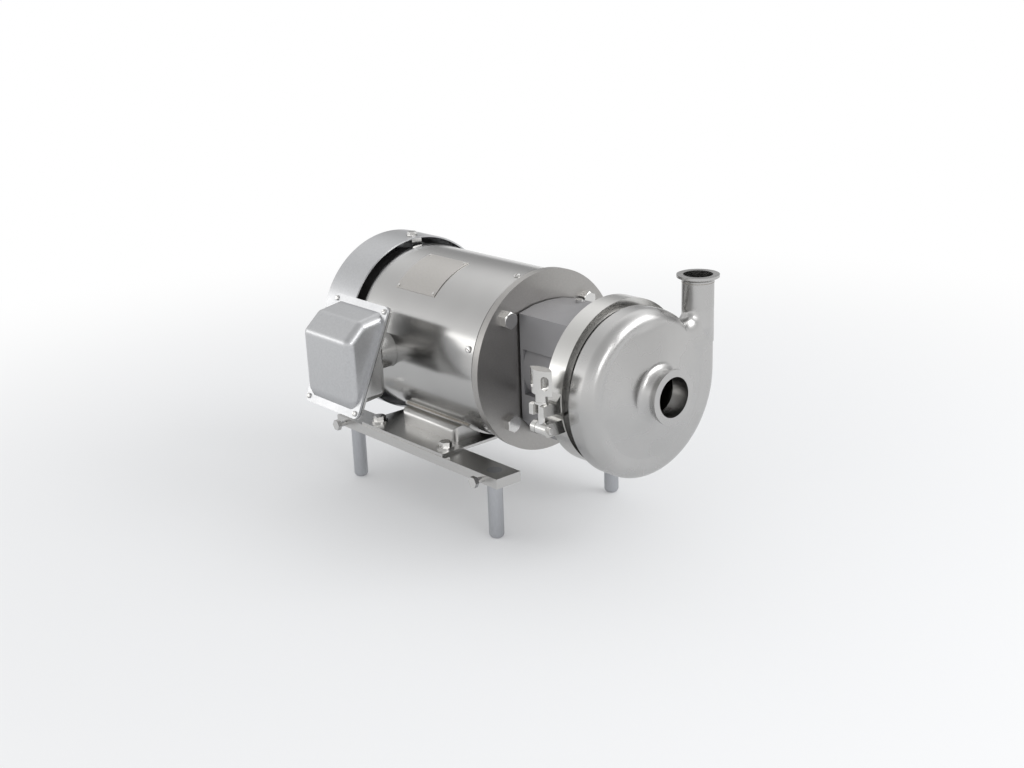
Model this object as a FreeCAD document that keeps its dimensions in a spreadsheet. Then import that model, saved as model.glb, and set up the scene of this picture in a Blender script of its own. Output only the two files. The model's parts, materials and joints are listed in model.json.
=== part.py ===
import FreeCAD, Part
import math
import os
import re
import Sketcher
from FreeCAD import Placement, Rotation, Vector

# Sanitary centrifugal pump, close coupled to a stainless C-face motor on two bars with four legs.
# Millimetres. Every piece is drawn about the shaft: x runs along it towards the suction and is 0 at
# the front of the adapter flange, y runs towards the discharge side and z runs up.
# The whole pump is then set down with its feet on z = 0 and its plan centred.

os.makedirs("parts", exist_ok=True)
doc = FreeCAD.newDocument("centrifugal_pump")

# Driving sizes
SIZES = {
    # stance
    "shaft_height": 203.2,
    "foot_gap": 0.7,
    "seat": 0.3,
    "running": 0.05,
    "past": 1,
    # flange between motor and adapter
    "disc_radius": 114.3,
    "disc_thickness": 10,
    "bolt_circle": 92.08,
    "bolt_shank": 6.35,
    "bolt_flats": 19.05,
    "bolt_head": 8.5,
    "bolt_hole": 6.75,
    "head_face": 0.475,
    "pilot_step": 1.95,
    "pilot_depth": 3.2,
    "register_radius": 40,
    "register_depth": 5,
    "register_wall": 6,
    # motor
    "shell_radius": 109.9,
    "shell_wall": 4.5,
    "shell_back": 246.5,
    "bell_rim": 6,
    "bell_spigot": 18,
    "bell_web": 9,
    "housing_radius": 39,
    "rear_bell_step": 6.9,
    "rear_bell_depth": 29,
    "core_front": 78,
    "core_length": 112,
    "air_gap": 0.6,
    "rotor_radius": 58,
    "winding_overhang": 24,
    "winding_room": 7.4,
    "winding_inner": 65,
    "end_ring": 12,
    "core_bore": 20,
    "journal_front": 15,
    "journal_rear": 12.5,
    "bearing_front_outer": 31,
    "bearing_rear_outer": 26,
    "bearing_width": 15,
    "bearing_front_x": 43,
    "bearing_rear_back": 19.5,
    "ball_count": 8,
    "ball_share": 0.3,
    "race_share": 0.32,
    "shaft_nose": 14.29,
    "shaft_reach": 60,
    "shaft_room": 4,
    "journal_step": 1,
    "journal_room": 2,
    "shaft_tail": 10,
    "tail_shoulder": 3,
    "tail_reach": 4,
    # fan and cover
    "fan_radius": 100,
    "fan_gap": 10.5,
    "fan_plate": 3,
    "fan_width": 22,
    "fan_hub": 19,
    "fan_blade": 3,
    "fan_blades": 7,
    "blade_tip": 3,
    "cover_gap": 9.4,
    "cover_wall": 2,
    "cover_front_back": 7.7,
    "cover_depth": 49.6,
    "cover_round": 9,
    "cover_bolt_back": 19.5,
    "cover_bolts": 4,
    "bracket_width": 16,
    "bracket_length": 20,
    "grille_slot": 7,
    "grille_pitch": 15,
    "grille_first": 22,
    "grille_rings": 5,
    "spoke_count": 4,
    "spoke_turn": 16,
    "small_bolt_flats": 11,
    "small_bolt_head": 4.5,
    "small_bolt_shank": 3,
    "small_washer_radius": 7.5,
    "small_washer": 1.2,
    # name plate and shell screws
    "plate_front": 119,
    "plate_length": 78,
    "plate_from": 12,
    "plate_span": 35,
    "plate_thickness": 0.8,
    "rivet_radius": 2,
    "rivet_inset": 4,
    "rivet_height": 0.9,
    "shell_screw_x": 25,
    "shell_screw_head": 4.2,
    "shell_screw_height": 2.2,
    "shell_screw_turn": 13,
    "shell_screw_count": 6,
    # conduit box, drawn square to its split and then tilted
    "box_middle_x": 186,
    "box_middle_y": 169.5,
    "box_middle_z": 6,
    "box_tilt": 24.4,
    "box_half_length": 57,
    "box_half_slant": 71.5,
    "box_flange": 3,
    "box_flange_round": 8,
    "box_wall": 2,
    "box_gasket": 0.8,
    "cover_inset": 7,
    "cover_peak_depth": 44,
    "cover_peak": 15,
    "cover_shoulder_depth": 31,
    "cover_shoulder": 44,
    "cover_foot_depth": 12,
    "cover_foot": 54,
    "cover_edge_round": 11,
    "base_top": 50,
    "base_inner_low": 29,
    "base_corner": 37,
    "base_low_depth": 4,
    "base_low": 55,
    "base_knee": 2,
    "base_edge_round": 8,
    "box_screw": 3.4,
    "box_screw_shank": 2.1,
    "box_screw_head": 2.4,
    "box_screw_inset": 6.5,
    "gasket_inset": 12,
    "gasket_low_inset": 16,
    "gasket_top_inset": 20,
    "entry_reach": 10,
    "neck_radius": 22,
    "neck_bore": 18,
    "terminal_half_length": 24,
    "terminal_height": 20,
    "terminal_depth": 12,
    "terminal_post": 5,
    "terminal_rise": 3,
    # motor foot
    "foot_plate": 3.7,
    "foot_front": 70.5,
    "foot_back": 242.5,
    "foot_half_width": 118,
    "foot_bolt_front": 86.6,
    "foot_bolt_pitch": 139.7,
    "foot_bolt_y": 100,
    "foot_bolt_shank": 4.75,
    "foot_bolt_flats": 14.3,
    "foot_bolt_head": 6.3,
    "washer_radius": 11,
    "washer_thickness": 2.2,
    "saddle_front": 75,
    "saddle_length": 134,
    "saddle_span": 76,
    "saddle_thickness": 3,
    "riser_front": 90,
    "riser_length": 113,
    "riser_outer": 81,
    "riser_inner": 40,
    "riser_height": 19,
    "riser_round": 8,
    "riser_crest": 20,
    "riser_lean": 2,
    "riser_toe": 4,
    # bars and legs
    "bar_width": 38.1,
    "bar_thickness": 12.7,
    "bar_y": 100,
    "bar_front": 33.6,
    "bar_back": 299.5,
    "leg_radius": 9.5,
    "leg_round": 6,
    "leg_front_x": 7.6,
    "leg_pitch": 287.2,
    "lock_shank": 4,
    "lock_flats": 12.7,
    "lock_head": 5.5,
    "lock_stand_off": 11,
    # adapter casting
    "adapter_half_width": 47.5,
    "adapter_crown": 77,
    "adapter_crown_drop": 1.4,
    "adapter_crown_half": 23.75,
    "adapter_shoulder": 70,
    "adapter_belly": 64,
    "adapter_base": 88,
    "adapter_base_half": 26,
    "adapter_length": 94,
    "adapter_wall": 9,
    "adapter_relief": 2.5,
    "adapter_flare": 8,
    "adapter_ring_bore": 57.5,
    "adapter_mouth": 59.5,
    "window_top": 26,
    "window_bottom": 31,
    "window_front": 8,
    "window_back": 80,
    "guard_radius": 49,
    "guard_wall": 1.5,
    "guard_edge": 26.5,
    "top_screw_x": 36,
    "top_screw_y": 20,
    "top_screw_head": 4.5,
    "top_screw_height": 3.6,
    "top_screw_sink": 0.8,
    # clamp joint
    "clamp_back": 104,
    "clamp_width": 26,
    "clamp_radius": 100.4,
    "clamp_groove": 95.2,
    "clamp_lip_radius": 89.5,
    "clamp_lip": 3,
    "clamp_flank": 2.6,
    "rim_clearance": 0.4,
    "neck_outer": 88.5,
    "back_plate_rim": 4.7,
    "rim_land": 2,
    "ear_width": 24,
    "ear_slot": 10.5,
    "ear_height": 25,
    "web_sink": 3,
    "web_clear": 3,
    "slot_reach": 20,
    "slot_height": 40,
    "slot_drop": 5,
    "split_height": 14,
    "split_gap": 4,
    "pivot_y": 118.5,
    "pivot_z": 28,
    "seat_radius": 30.4,
    "ear_reach": 8.5,
    "eye_radius": 8,
    "eye_root": 5,
    "fork_sink": 4,
    "bolt_radius": 4.75,
    "bolt_top": 38,
    "pivot_pin": 3.9,
    "pin_head": 5.5,
    "pin_head_length": 3,
    "clamp_washer_radius": 8.3,
    "clamp_washer_height": 2,
    "washer_gap": 0.15,
    "nut_hub": 7.2,
    "nut_top": 42,
    "wing_bottom": 13.5,
    "wing_reach": 17.5,
    "wing_waist": 7.4,
    "wing_loop": 4.2,
    "wing_loop_x": 10.6,
    "wing_loop_height": 8,
    "wing_cut": 10,
    "hinge_y": 109,
    "hinge_pin": 3.5,
    "hinge_eye": 7.5,
    "hinge_lug": 14,
    "hinge_reach": 40,
    "hinge_pin_proud": 2,
    # casing
    "casing_back": 142,
    "casing_width": 33,
    "volute_radius": 98.1,
    "volute_step": 6.25,
    "casing_wall": 4,
    "casing_round": 16,
    "face_radius": 80,
    "face_sink": 2,
    "face_rise": 9,
    "face_inset": 6,
    "flare_radius": 40,
    "flare_rise": 3,
    "flare_round": 13,
    "suction_face": 207.5,
    "suction_bore": 23.75,
    "suction_tube": 26.6,
    "suction_ferrule": 32.4,
    "ferrule_lip": 3,
    "ferrule_taper": 3.4,
    "discharge_top": 117,
    "discharge_bore": 17.4,
    "discharge_tube": 19.05,
    "discharge_ferrule": 25.25,
    "throat_height": 40,
    "throat_blend": 16,
    "throat_sink": 4,
    "throat_round": 14,
    "throat_corner": 2,
    "throat_draw": 0.98,
    "plug_clearance": 0.4,
    "plug_wall": 5,
    "plug_front": 137.5,
    "plug_chamfer": 6,
    "boss_wall": 6,
    "boss_foot": 4,
    "casing_gap": 0.2,
    # shaft end, seal and impeller
    "sleeve_radius": 17,
    "sleeve_back": 12,
    "collar_front": 46,
    "collar_length": 16,
    "collar_radius": 32,
    "collar_bore": 22,
    "collar_slit": 3,
    "collar_screw": 2.5,
    "collar_screw_inset": 4.5,
    "collar_screw_half": 14.4,
    "sleeve_land": 6,
    "sleeve_step": 4,
    "impeller_radius": 76,
    "impeller_plate": 3.5,
    "impeller_gap": 2.5,
    "impeller_dish": 2,
    "hub_flare": 10,
    "hub_shoulder": 10.8,
    "hub_chamfer": 3,
    "vane_height": 18,
    "vane_thickness": 4,
    "vane_count": 5,
    "vane_tip": 0.5,
    "vane_sweep": 0.62,
    "vane_out": 0.42,
    "vane_down": 0.38,
    "vane_start": 24,
    "vane_end": 116,
    "hub_radius": 18,
    "stud_radius": 8,
    "stud_length": 9.6,
    "stud_room": 0.6,
    "nut_flats": 26,
    "impeller_nut_length": 12,
    "seal_bore": 20,
    "seal_outer": 27,
    "seal_seat_depth": 4,
    "seal_step": 1,
    "seal_coils": 3,
    "seal_ring_length": 9,
    "seal_spring_length": 14,
    "seal_collar_length": 9,
    "gasket_width": 2.2,
    "slinger_reach": 12,
    "slinger_rim": 4,
    "slinger_hub": 5,
    "slinger_room": 2,
}

sheet = doc.addObject("Spreadsheet::Sheet", "sizes")
for row, (alias, size) in enumerate(SIZES.items(), start=1):
    sheet.set(f"A{row}", alias)
    sheet.set(f"B{row}", str(size))
    sheet.setAlias(f"B{row}", alias)
doc.recompute()

NODES = []


def formula(text):
    """Point each size named in a formula at its cell in the sheet."""

    def pointed(word):
        return "sizes." + word.group() if word.group() in SIZES else word.group()

    return re.sub(r"[a-z_]+", pointed, str(text))


def amount(text):
    """The present value of a formula."""
    return float(sheet.evalExpression(formula(text)))


def bind(item, prop, text):
    item.setExpression(prop, formula(text))


# Lines of the motor that follow from its shell, as places along the shaft and radii
SHELL_FRONT = "disc_thickness + bell_rim"
SHELL_BORE = "(shell_radius - shell_wall)"
PILOT_RADIUS = "(shell_radius - pilot_step)"
BELL_BACK = "(shell_back + rear_bell_depth)"
BELL_RADIUS = "(shell_radius - rear_bell_step)"
REAR_BEARING = "(shell_back + bearing_rear_back)"
FAN_FRONT = f"({BELL_BACK} + fan_gap)"
FAN_BACK = f"({FAN_FRONT} + fan_width)"
COVER_RADIUS = "(shell_radius + cover_gap)"
COVER_BACK = f"({BELL_BACK} + cover_depth)"
COVER_BOLT = "(shell_back + cover_bolt_back)"
FOOT_DROP = "(shell_radius + foot_plate + foot_gap)"

# Plan centre of the pump, from its furthest pieces
FRAME_X = f"({COVER_BACK} - suction_face) / 2"
BOX_OUTER = "(box_middle_y + cover_peak_depth * cos(box_tilt * 1 deg) - cover_peak * sin(box_tilt * 1 deg))"
FRAME_Y = f"({BOX_OUTER} - bar_y - bar_width / 2 - lock_stand_off - lock_head) / 2"


def node(item, name):
    """Label a finished piece with its node name and set it in the pump's own frame."""
    item.Label = name
    bind(item, "Placement.Base.x", FRAME_X)
    bind(item, "Placement.Base.y", FRAME_Y)
    bind(item, "Placement.Base.z", "shaft_height")
    NODES.append(item)
    return item


# Part design helpers
def new_body(name):
    return doc.addObject("PartDesign::Body", "body_" + name)


def origin_part(body, role):
    return next(part for part in body.Origin.OriginFeatures if part.Role == role)


def sketch_on(body, plane, offset=("0", "0", "0"), turn=None):
    """A sketch on an origin plane, moved in the plane's own axes and turned about its first axis."""
    sketch = body.newObject("Sketcher::SketchObject", body.Name + "_sketch")
    sketch.AttachmentSupport = [(origin_part(body, plane), "")]
    sketch.MapMode = "FlatFace"
    if turn is not None:
        sketch.AttachmentOffset = Placement(Vector(), Rotation(Vector(1, 0, 0), amount(turn)))
        bind(sketch, "AttachmentOffset.Rotation.Angle", turn)
    for axis, shift in zip("xyz", offset):
        bind(sketch, f"AttachmentOffset.Base.{axis}", shift)
    return sketch


def hold(sketch, kind, geometry, point, text):
    """Hold one coordinate of a sketch point by a formula."""
    index = sketch.addConstraint(Sketcher.Constraint(kind, -1, 1, geometry, point, amount(text)))
    bind(sketch, f"Constraints[{index}]", text)


def polygon(sketch, corners):
    """A closed polygon whose corners are held by formulas."""
    spots = [Vector(amount(u), amount(v), 0) for u, v in corners]
    count = len(spots)
    first = sketch.GeometryCount
    for i in range(count):
        sketch.addGeometry(Part.LineSegment(spots[i], spots[(i + 1) % count]))
    for i in range(count):
        sketch.addConstraint(Sketcher.Constraint("Coincident", first + i, 2, first + (i + 1) % count, 1))
    for i, (u, v) in enumerate(corners):
        hold(sketch, "DistanceX", first + i, 1, u)
        hold(sketch, "DistanceY", first + i, 1, v)


def circle(sketch, u, v, radius):
    """A circle held at a centre with a given radius."""
    spot = Vector(amount(u), amount(v), 0)
    index = sketch.addGeometry(Part.Circle(spot, Vector(0, 0, 1), amount(radius)))
    hold(sketch, "DistanceX", index, 3, u)
    hold(sketch, "DistanceY", index, 3, v)
    size = sketch.addConstraint(Sketcher.Constraint("Radius", index, amount(radius)))
    bind(sketch, f"Constraints[{size}]", radius)


def turn_round(body, sketch, axis="H_Axis", cut=False, angle="360"):
    kind = "PartDesign::Groove" if cut else "PartDesign::Revolution"
    feature = body.newObject(kind, body.Name + "_turn")
    feature.Profile = sketch
    feature.ReferenceAxis = (sketch, [axis])
    feature.Angle = amount(angle)
    bind(feature, "Angle", angle)
    return feature


def raise_from(body, sketch, length, reverse=False):
    feature = body.newObject("PartDesign::Pad", body.Name + "_pad")
    feature.Profile = sketch
    bind(feature, "Length", length)
    feature.Reversed = reverse
    return feature


def cut_from(body, sketch, length, reverse=False):
    feature = body.newObject("PartDesign::Pocket", body.Name + "_pocket")
    feature.Profile = sketch
    bind(feature, "Length", length)
    feature.Reversed = reverse
    return feature


def repeat_round(body, feature, count, axis="X_Axis"):
    """Repeat a feature evenly round an origin axis."""
    pattern = body.newObject("PartDesign::PolarPattern", body.Name + "_pattern")
    pattern.Originals = [feature]
    pattern.Axis = (origin_part(body, axis), [""])
    pattern.Angle = 360
    pattern.Occurrences = int(amount(count))
    bind(pattern, "Occurrences", count)
    body.Tip = pattern
    return pattern


def soften(body, feature, radius, chosen, kind="PartDesign::Fillet"):
    """Round or chamfer the edges of a feature that the test picks."""
    doc.recompute()
    edges = [f"Edge{i}" for i, edge in enumerate(feature.Shape.Edges, start=1) if chosen(edge)]
    finish = body.newObject(kind, body.Name + "_soften")
    finish.Base = (feature, edges)
    bind(finish, "Radius" if kind == "PartDesign::Fillet" else "Size", radius)
    body.Tip = finish
    return finish


CLOSE = 0.02


def near(value, text):
    return abs(value - amount(text)) < CLOSE


def turned(name, corners):
    """A piece turned about the shaft, its half section given as (x, radius) corners."""
    body = new_body(name)
    sketch = sketch_on(body, "XZ_Plane")
    polygon(sketch, corners)
    turn_round(body, sketch)
    return node(body, name)


# Primitive helpers; each takes its place and sizes as formulas
TURNS = {"x": Rotation(Vector(0, 1, 0), 90), "y": Rotation(Vector(1, 0, 0), -90), "z": Rotation()}
SERIAL = {"last": 0}


def primitive(kind, place, rotation, sizes):
    SERIAL["last"] += 1
    item = doc.addObject(kind, f"piece_{SERIAL['last']}")
    item.Placement = Placement(Vector(), rotation)
    for axis, text in zip("xyz", place):
        bind(item, f"Placement.Base.{axis}", text)
    for prop, text in sizes.items():
        bind(item, prop, text)
    return item


def rod(axis, place, radius, length):
    return primitive("Part::Cylinder", place, TURNS[axis], {"Radius": radius, "Height": length})


def block(place, length, width, height):
    return primitive("Part::Box", place, Rotation(), {"Length": length, "Width": width, "Height": height})


def hexagon(rotation, place, flats, height):
    return primitive("Part::Prism", place, rotation,
                     {"Circumradius": f"({flats}) / sqrt(3)", "Height": height})


def bolt_head(rotation, place, flats, height):
    """A hexagon head with its outer corners turned off at thirty degrees."""
    turned_off = primitive("Part::Cone", place, rotation,
                           {"Radius1": f"{flats} * head_face + {height} * tan(60 deg)",
                            "Radius2": f"{flats} * head_face", "Height": height})
    return join("MultiCommon", [hexagon(rotation, place, flats, height), turned_off])


def join(kind, items):
    """Fuse, cut or intersect: the first item with all the others."""
    SERIAL["last"] += 1
    if kind == "Cut":
        result = doc.addObject("Part::Cut", f"cut_{SERIAL['last']}")
        result.Base = items[0]
        result.Tool = items[1] if len(items) == 2 else join("MultiFuse", items[1:])
        return result
    result = doc.addObject("Part::" + kind, f"join_{SERIAL['last']}")
    result.Shapes = items
    return result


def group(name, items):
    """Separate solids that share one node."""
    bundle = doc.addObject("Part::Compound", "group_" + name)
    bundle.Links = items
    return node(bundle, name)


def about_shaft(turn_degrees):
    """Rotation that takes the upright direction round the shaft, towards the near side."""
    return Rotation(Vector(1, 0, 0), turn_degrees)


def radial_place(radius, turn, x):
    """A place at a radius from the shaft and an angle from the top."""
    return (x, f"-({radius}) * sin(({turn}) * 1 deg)", f"({radius}) * cos(({turn}) * 1 deg)")


# Motor shell and end bells
def motor_shell():
    body = new_body("motor_shell")
    sketch = sketch_on(body, "XZ_Plane")
    polygon(sketch, [(f"-({SHELL_FRONT})", SHELL_BORE), (f"-({SHELL_FRONT})", "shell_radius"),
                     ("-shell_back", "shell_radius"), ("-shell_back", SHELL_BORE)])
    turn_round(body, sketch)
    entry = sketch_on(body, "XZ_Plane", ("0", "0", "shell_radius / 2"))
    circle(entry, "-box_middle_x", "0", "neck_radius + seat")
    cut_from(body, entry, "shell_radius", reverse=True)
    node(body, "motor_shell")


def front_end_bell():
    face = "-disc_thickness"
    turned("front_end_bell", [
        (f"{face} + pilot_depth", "shaft_nose + shaft_room"),
        (f"{face} + pilot_depth", PILOT_RADIUS),
        (face, PILOT_RADIUS),
        (face, "shell_radius"),
        (f"-({SHELL_FRONT})", "shell_radius"),
        (f"-({SHELL_FRONT})", f"{SHELL_BORE} - running"),
        (f"-({SHELL_FRONT}) - bell_spigot", f"{SHELL_BORE} - running"),
        (f"-({SHELL_FRONT}) - bell_spigot", f"{SHELL_BORE} - shell_wall"),
        (f"{face} - bell_web", f"{SHELL_BORE} - shell_wall - bell_web"),
        (f"{face} - bell_web", "housing_radius"),
        ("-bearing_front_x", "housing_radius"),
        ("-bearing_front_x", "bearing_front_outer + running"),
        ("-bearing_front_x + bearing_width", "bearing_front_outer + running"),
        ("-bearing_front_x + bearing_width", "shaft_nose + shaft_room"),
    ])


def rear_end_bell():
    back = f"-{BELL_BACK}"
    turned("rear_end_bell", [
        ("-shell_back + bell_spigot", f"{SHELL_BORE} - running"),
        ("-shell_back", f"{SHELL_BORE} - running"),
        ("-shell_back", BELL_RADIUS),
        (back, BELL_RADIUS),
        (back, "journal_rear + journal_room"),
        (f"{back} + bell_web", "journal_rear + journal_room"),
        (f"{back} + bell_web", "bearing_rear_outer + running"),
        (f"-{REAR_BEARING} + bearing_width", "bearing_rear_outer + running"),
        (f"-{REAR_BEARING} + bearing_width", "housing_radius"),
        (f"{back} + bell_web", "housing_radius"),
        (f"{back} + bell_web", f"{BELL_RADIUS} - bell_web"),
        ("-shell_back + bell_spigot", f"{BELL_RADIUS} - bell_web"),
    ])


# Electrical core and shaft
def motor_core():
    front = "-core_front"
    back = "-core_front - core_length"
    turned("stator_core", [(front, "rotor_radius + air_gap"), (front, f"{SHELL_BORE} - running"),
                           (back, f"{SHELL_BORE} - running"), (back, "rotor_radius + air_gap")])
    coils = []
    for start in (front, f"{back} - winding_overhang"):
        coils.append(join("Cut",
                          [rod("x", (start, "0", "0"), f"{SHELL_BORE} - winding_room", "winding_overhang"),
                           rod("x", (start, "0", "0"), "winding_inner", "winding_overhang")]))
    group("stator_windings", coils)
    turned("rotor_core", [(f"{front} + end_ring", "core_bore"), (f"{front} + end_ring", "rotor_radius"),
                          (f"{back} - end_ring", "rotor_radius"), (f"{back} - end_ring", "core_bore")])


def motor_shaft():
    turned("motor_shaft", [
        ("shaft_reach", "0"),
        ("shaft_reach", "shaft_nose"),
        ("-bearing_front_x + bearing_width", "shaft_nose"),
        ("-bearing_front_x + bearing_width", "journal_front"),
        ("-bearing_front_x", "journal_front"),
        ("-bearing_front_x", "core_bore"),
        ("-core_front - core_length - end_ring", "core_bore"),
        ("-core_front - core_length - end_ring", "journal_front + journal_step"),
        (f"-{REAR_BEARING} + bearing_width", "journal_front + journal_step"),
        (f"-{REAR_BEARING} + bearing_width", "journal_rear"),
        (f"-{BELL_BACK} - tail_shoulder", "journal_rear"),
        (f"-{BELL_BACK} - tail_shoulder", "shaft_tail"),
        (f"-{FAN_BACK} - tail_reach", "shaft_tail"),
        (f"-{FAN_BACK} - tail_reach", "0"),
    ])


# Ball bearings: ring height and ball size follow from each bearing's bore and outside
def race_ring(x, inner, outer):
    return join("Cut", [rod("x", (x, "0", "0"), outer, "bearing_width"),
                        rod("x", (x, "0", "0"), inner, "bearing_width")])


def bearings():
    outers = []
    inners = []
    balls = []
    for x, bore, outside in (("-bearing_front_x", "journal_front", "bearing_front_outer"),
                             (f"-{REAR_BEARING}", "journal_rear", "bearing_rear_outer")):
        wall = f"({outside} - {bore})"
        pitch = f"({bore} + {wall} / 2)"
        ball = f"({wall} * ball_share)"
        track = primitive("Part::Torus", (f"{x} + bearing_width / 2", "0", "0"), TURNS["x"],
                          {"Radius1": pitch, "Radius2": f"{ball} + running"})
        outers.append(join("Cut", [race_ring(x, f"{outside} - {wall} * race_share", outside), track]))
        inners.append(join("Cut", [race_ring(x, bore, f"{bore} + {wall} * race_share"), track]))
        for i in range(int(amount("ball_count"))):
            place = radial_place(pitch, f"360 / ball_count * {i}", f"{x} + bearing_width / 2")
            balls.append(primitive("Part::Sphere", place, Rotation(), {"Radius": ball}))
    group("bearing_outer_rings", outers)
    group("bearing_inner_rings", inners)
    group("bearing_balls", balls)


# Fan and its cover
def cooling_fan():
    body = new_body("cooling_fan")
    sketch = sketch_on(body, "XZ_Plane")
    front = f"-{FAN_FRONT}"
    back = f"-{FAN_BACK}"
    polygon(sketch, [(front, "shaft_tail"), (front, "fan_radius"), (f"{front} - fan_plate", "fan_radius"),
                     (f"{front} - fan_plate", "fan_hub"), (back, "fan_hub"), (back, "shaft_tail")])
    turn_round(body, sketch)
    blade_sketch = sketch_on(body, "XY_Plane", ("0", "0", "fan_hub - past"))
    polygon(blade_sketch,
            [(f"{front} - fan_plate / 2", "-fan_blade / 2"), (f"{front} - fan_plate / 2", "fan_blade / 2"),
             (back, "fan_blade / 2"), (back, "-fan_blade / 2")])
    blade = raise_from(body, blade_sketch, "fan_radius - blade_tip - fan_hub + past")
    repeat_round(body, blade, "fan_blades")
    node(body, "cooling_fan")


def fan_cover():
    body = new_body("fan_cover")
    sketch = sketch_on(body, "XZ_Plane")
    front = "-shell_back - cover_front_back"
    back = f"-{COVER_BACK}"
    inner = f"({COVER_RADIUS} - cover_wall)"
    polygon(sketch, [(front, inner), (front, COVER_RADIUS), (f"{back} + cover_round", COVER_RADIUS),
                     (back, f"{COVER_RADIUS} - cover_round"), (back, "0"), (f"{back} + cover_wall", "0"),
                     (f"{back} + cover_wall", f"{inner} - cover_round + cover_wall"),
                     (f"{back} + cover_round", inner)])
    turn_round(body, sketch)
    # air slots: rings of slots cut into sectors by solid spokes
    for ring in range(int(amount("grille_rings"))):
        slot_inner = f"(grille_first + grille_pitch * {ring})"
        slot = sketch_on(body, "XZ_Plane", turn="spoke_turn / 2")
        polygon(slot, [(f"{back} - past", slot_inner), (f"{back} - past", f"{slot_inner} + grille_slot"),
                       (f"{back} + cover_wall + past", f"{slot_inner} + grille_slot"),
                       (f"{back} + cover_wall + past", slot_inner)])
        cut = turn_round(body, slot, cut=True, angle="360 / spoke_count - spoke_turn")
        repeat_round(body, cut, "spoke_count")
    hole_sketch = sketch_on(body, "XY_Plane", ("0", "0", f"{COVER_RADIUS} / 2"))
    circle(hole_sketch, f"-{COVER_BOLT}", "0", "small_bolt_shank + running")
    hole = cut_from(body, hole_sketch, COVER_RADIUS, reverse=True)
    repeat_round(body, hole, "cover_bolts")
    node(body, "fan_cover")


def bracket_corner(turn):
    """Corner of a bracket block whose width is centred on its radial line."""
    low = f"({BELL_RADIUS} - past)"
    y = f"-{low} * sin({turn} * 1 deg) - bracket_width / 2 * cos({turn} * 1 deg)"
    z = f"{low} * cos({turn} * 1 deg) - bracket_width / 2 * sin({turn} * 1 deg)"
    return y, z


def fan_cover_fixings():
    brackets = []
    bolts = []
    rise = f"{COVER_RADIUS} - {BELL_RADIUS}"
    start = f"-{COVER_BOLT} - bracket_length / 2"
    for i in range(int(amount("cover_bolts"))):
        turn = amount("360 / cover_bolts") * i
        side = about_shaft(turn)
        foot = primitive("Part::Box", (start,) + bracket_corner(turn), side,
                         {"Length": "bracket_length", "Width": "bracket_width", "Height": rise})
        hole = primitive("Part::Cylinder", radial_place(f"{BELL_RADIUS} - past", turn, f"-{COVER_BOLT}"),
                         side,
                         {"Radius": "small_bolt_shank + running", "Height": COVER_RADIUS})
        inside = rod("x", (start, "0", "0"), f"{COVER_RADIUS} - cover_wall", "bracket_length")
        bell = rod("x", (start, "0", "0"), BELL_RADIUS, "bracket_length")
        brackets.append(join("Cut", [join("MultiCommon", [foot, inside]), bell, hole]))
        shank = primitive("Part::Cylinder", radial_place(f"{BELL_RADIUS} + past", turn, f"-{COVER_BOLT}"),
                          side,
                          {"Radius": "small_bolt_shank", "Height": rise})
        washer = primitive("Part::Cylinder", radial_place(COVER_RADIUS, turn, f"-{COVER_BOLT}"), side,
                           {"Radius": "small_washer_radius", "Height": "small_washer"})
        head = bolt_head(side, radial_place(f"{COVER_RADIUS} + small_washer", turn, f"-{COVER_BOLT}"),
                         "small_bolt_flats", "small_bolt_head")
        bolts.append(join("MultiFuse", [shank, washer, head]))
    group("fan_cover_brackets", brackets)
    group("fan_cover_bolts", bolts)


# Name plate, its rivets and the screws of the shell
def name_plate():
    body = new_body("nameplate")
    sketch = sketch_on(body, "XZ_Plane", turn="plate_from")
    polygon(sketch, [("-plate_front", "shell_radius + seat"),
                     ("-plate_front", "shell_radius + seat + plate_thickness"),
                     ("-plate_front - plate_length", "shell_radius + seat + plate_thickness"),
                     ("-plate_front - plate_length", "shell_radius + seat")])
    turn_round(body, sketch, angle="plate_span")
    node(body, "nameplate")
    rivets = []
    inset_turn = f"rivet_inset / shell_radius * {math.degrees(1)}"
    for turn in (f"plate_from + {inset_turn}", f"plate_from + plate_span - {inset_turn}"):
        for x in ("-plate_front - rivet_inset", "-plate_front - plate_length + rivet_inset"):
            place = radial_place("shell_radius + seat + plate_thickness + running", turn, x)
            rivets.append(primitive("Part::Cylinder", place, about_shaft(amount(turn)),
                                    {"Radius": "rivet_radius", "Height": "rivet_height"}))
    group("nameplate_rivets", rivets)


def shell_screws():
    screws = []
    for i in range(int(amount("shell_screw_count"))):
        turn = f"shell_screw_turn + 360 / shell_screw_count * {i}"
        place = radial_place("shell_radius + running", turn, "-shell_screw_x")
        screws.append(primitive("Part::Cylinder", place, about_shaft(amount(turn)),
                                {"Radius": "shell_screw_head", "Height": "shell_screw_height"}))
    group("shell_screws", screws)


# Conduit box. Its pieces are drawn with z up the split, y into the motor and x along the shaft,
# and are then tilted and set beside the motor.
SLOPE = "tan(box_tilt * 1 deg)"


def box_node(item, name):
    node(item, name)
    base = item.Placement.Base
    item.Placement = Placement(base, Rotation(Vector(1, 0, 0), -amount("box_tilt")))
    bind(item, "Placement.Rotation.Angle", "-box_tilt")
    bind(item, "Placement.Base.x", f"{FRAME_X} - box_middle_x")
    bind(item, "Placement.Base.y", f"{FRAME_Y} - box_middle_y")
    bind(item, "Placement.Base.z", "shaft_height + box_middle_z")


def plate_corner(edge):
    middle = edge.BoundBox.Center
    return near(abs(middle.x), "box_half_length") and near(abs(middle.z), "box_half_slant")


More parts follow.
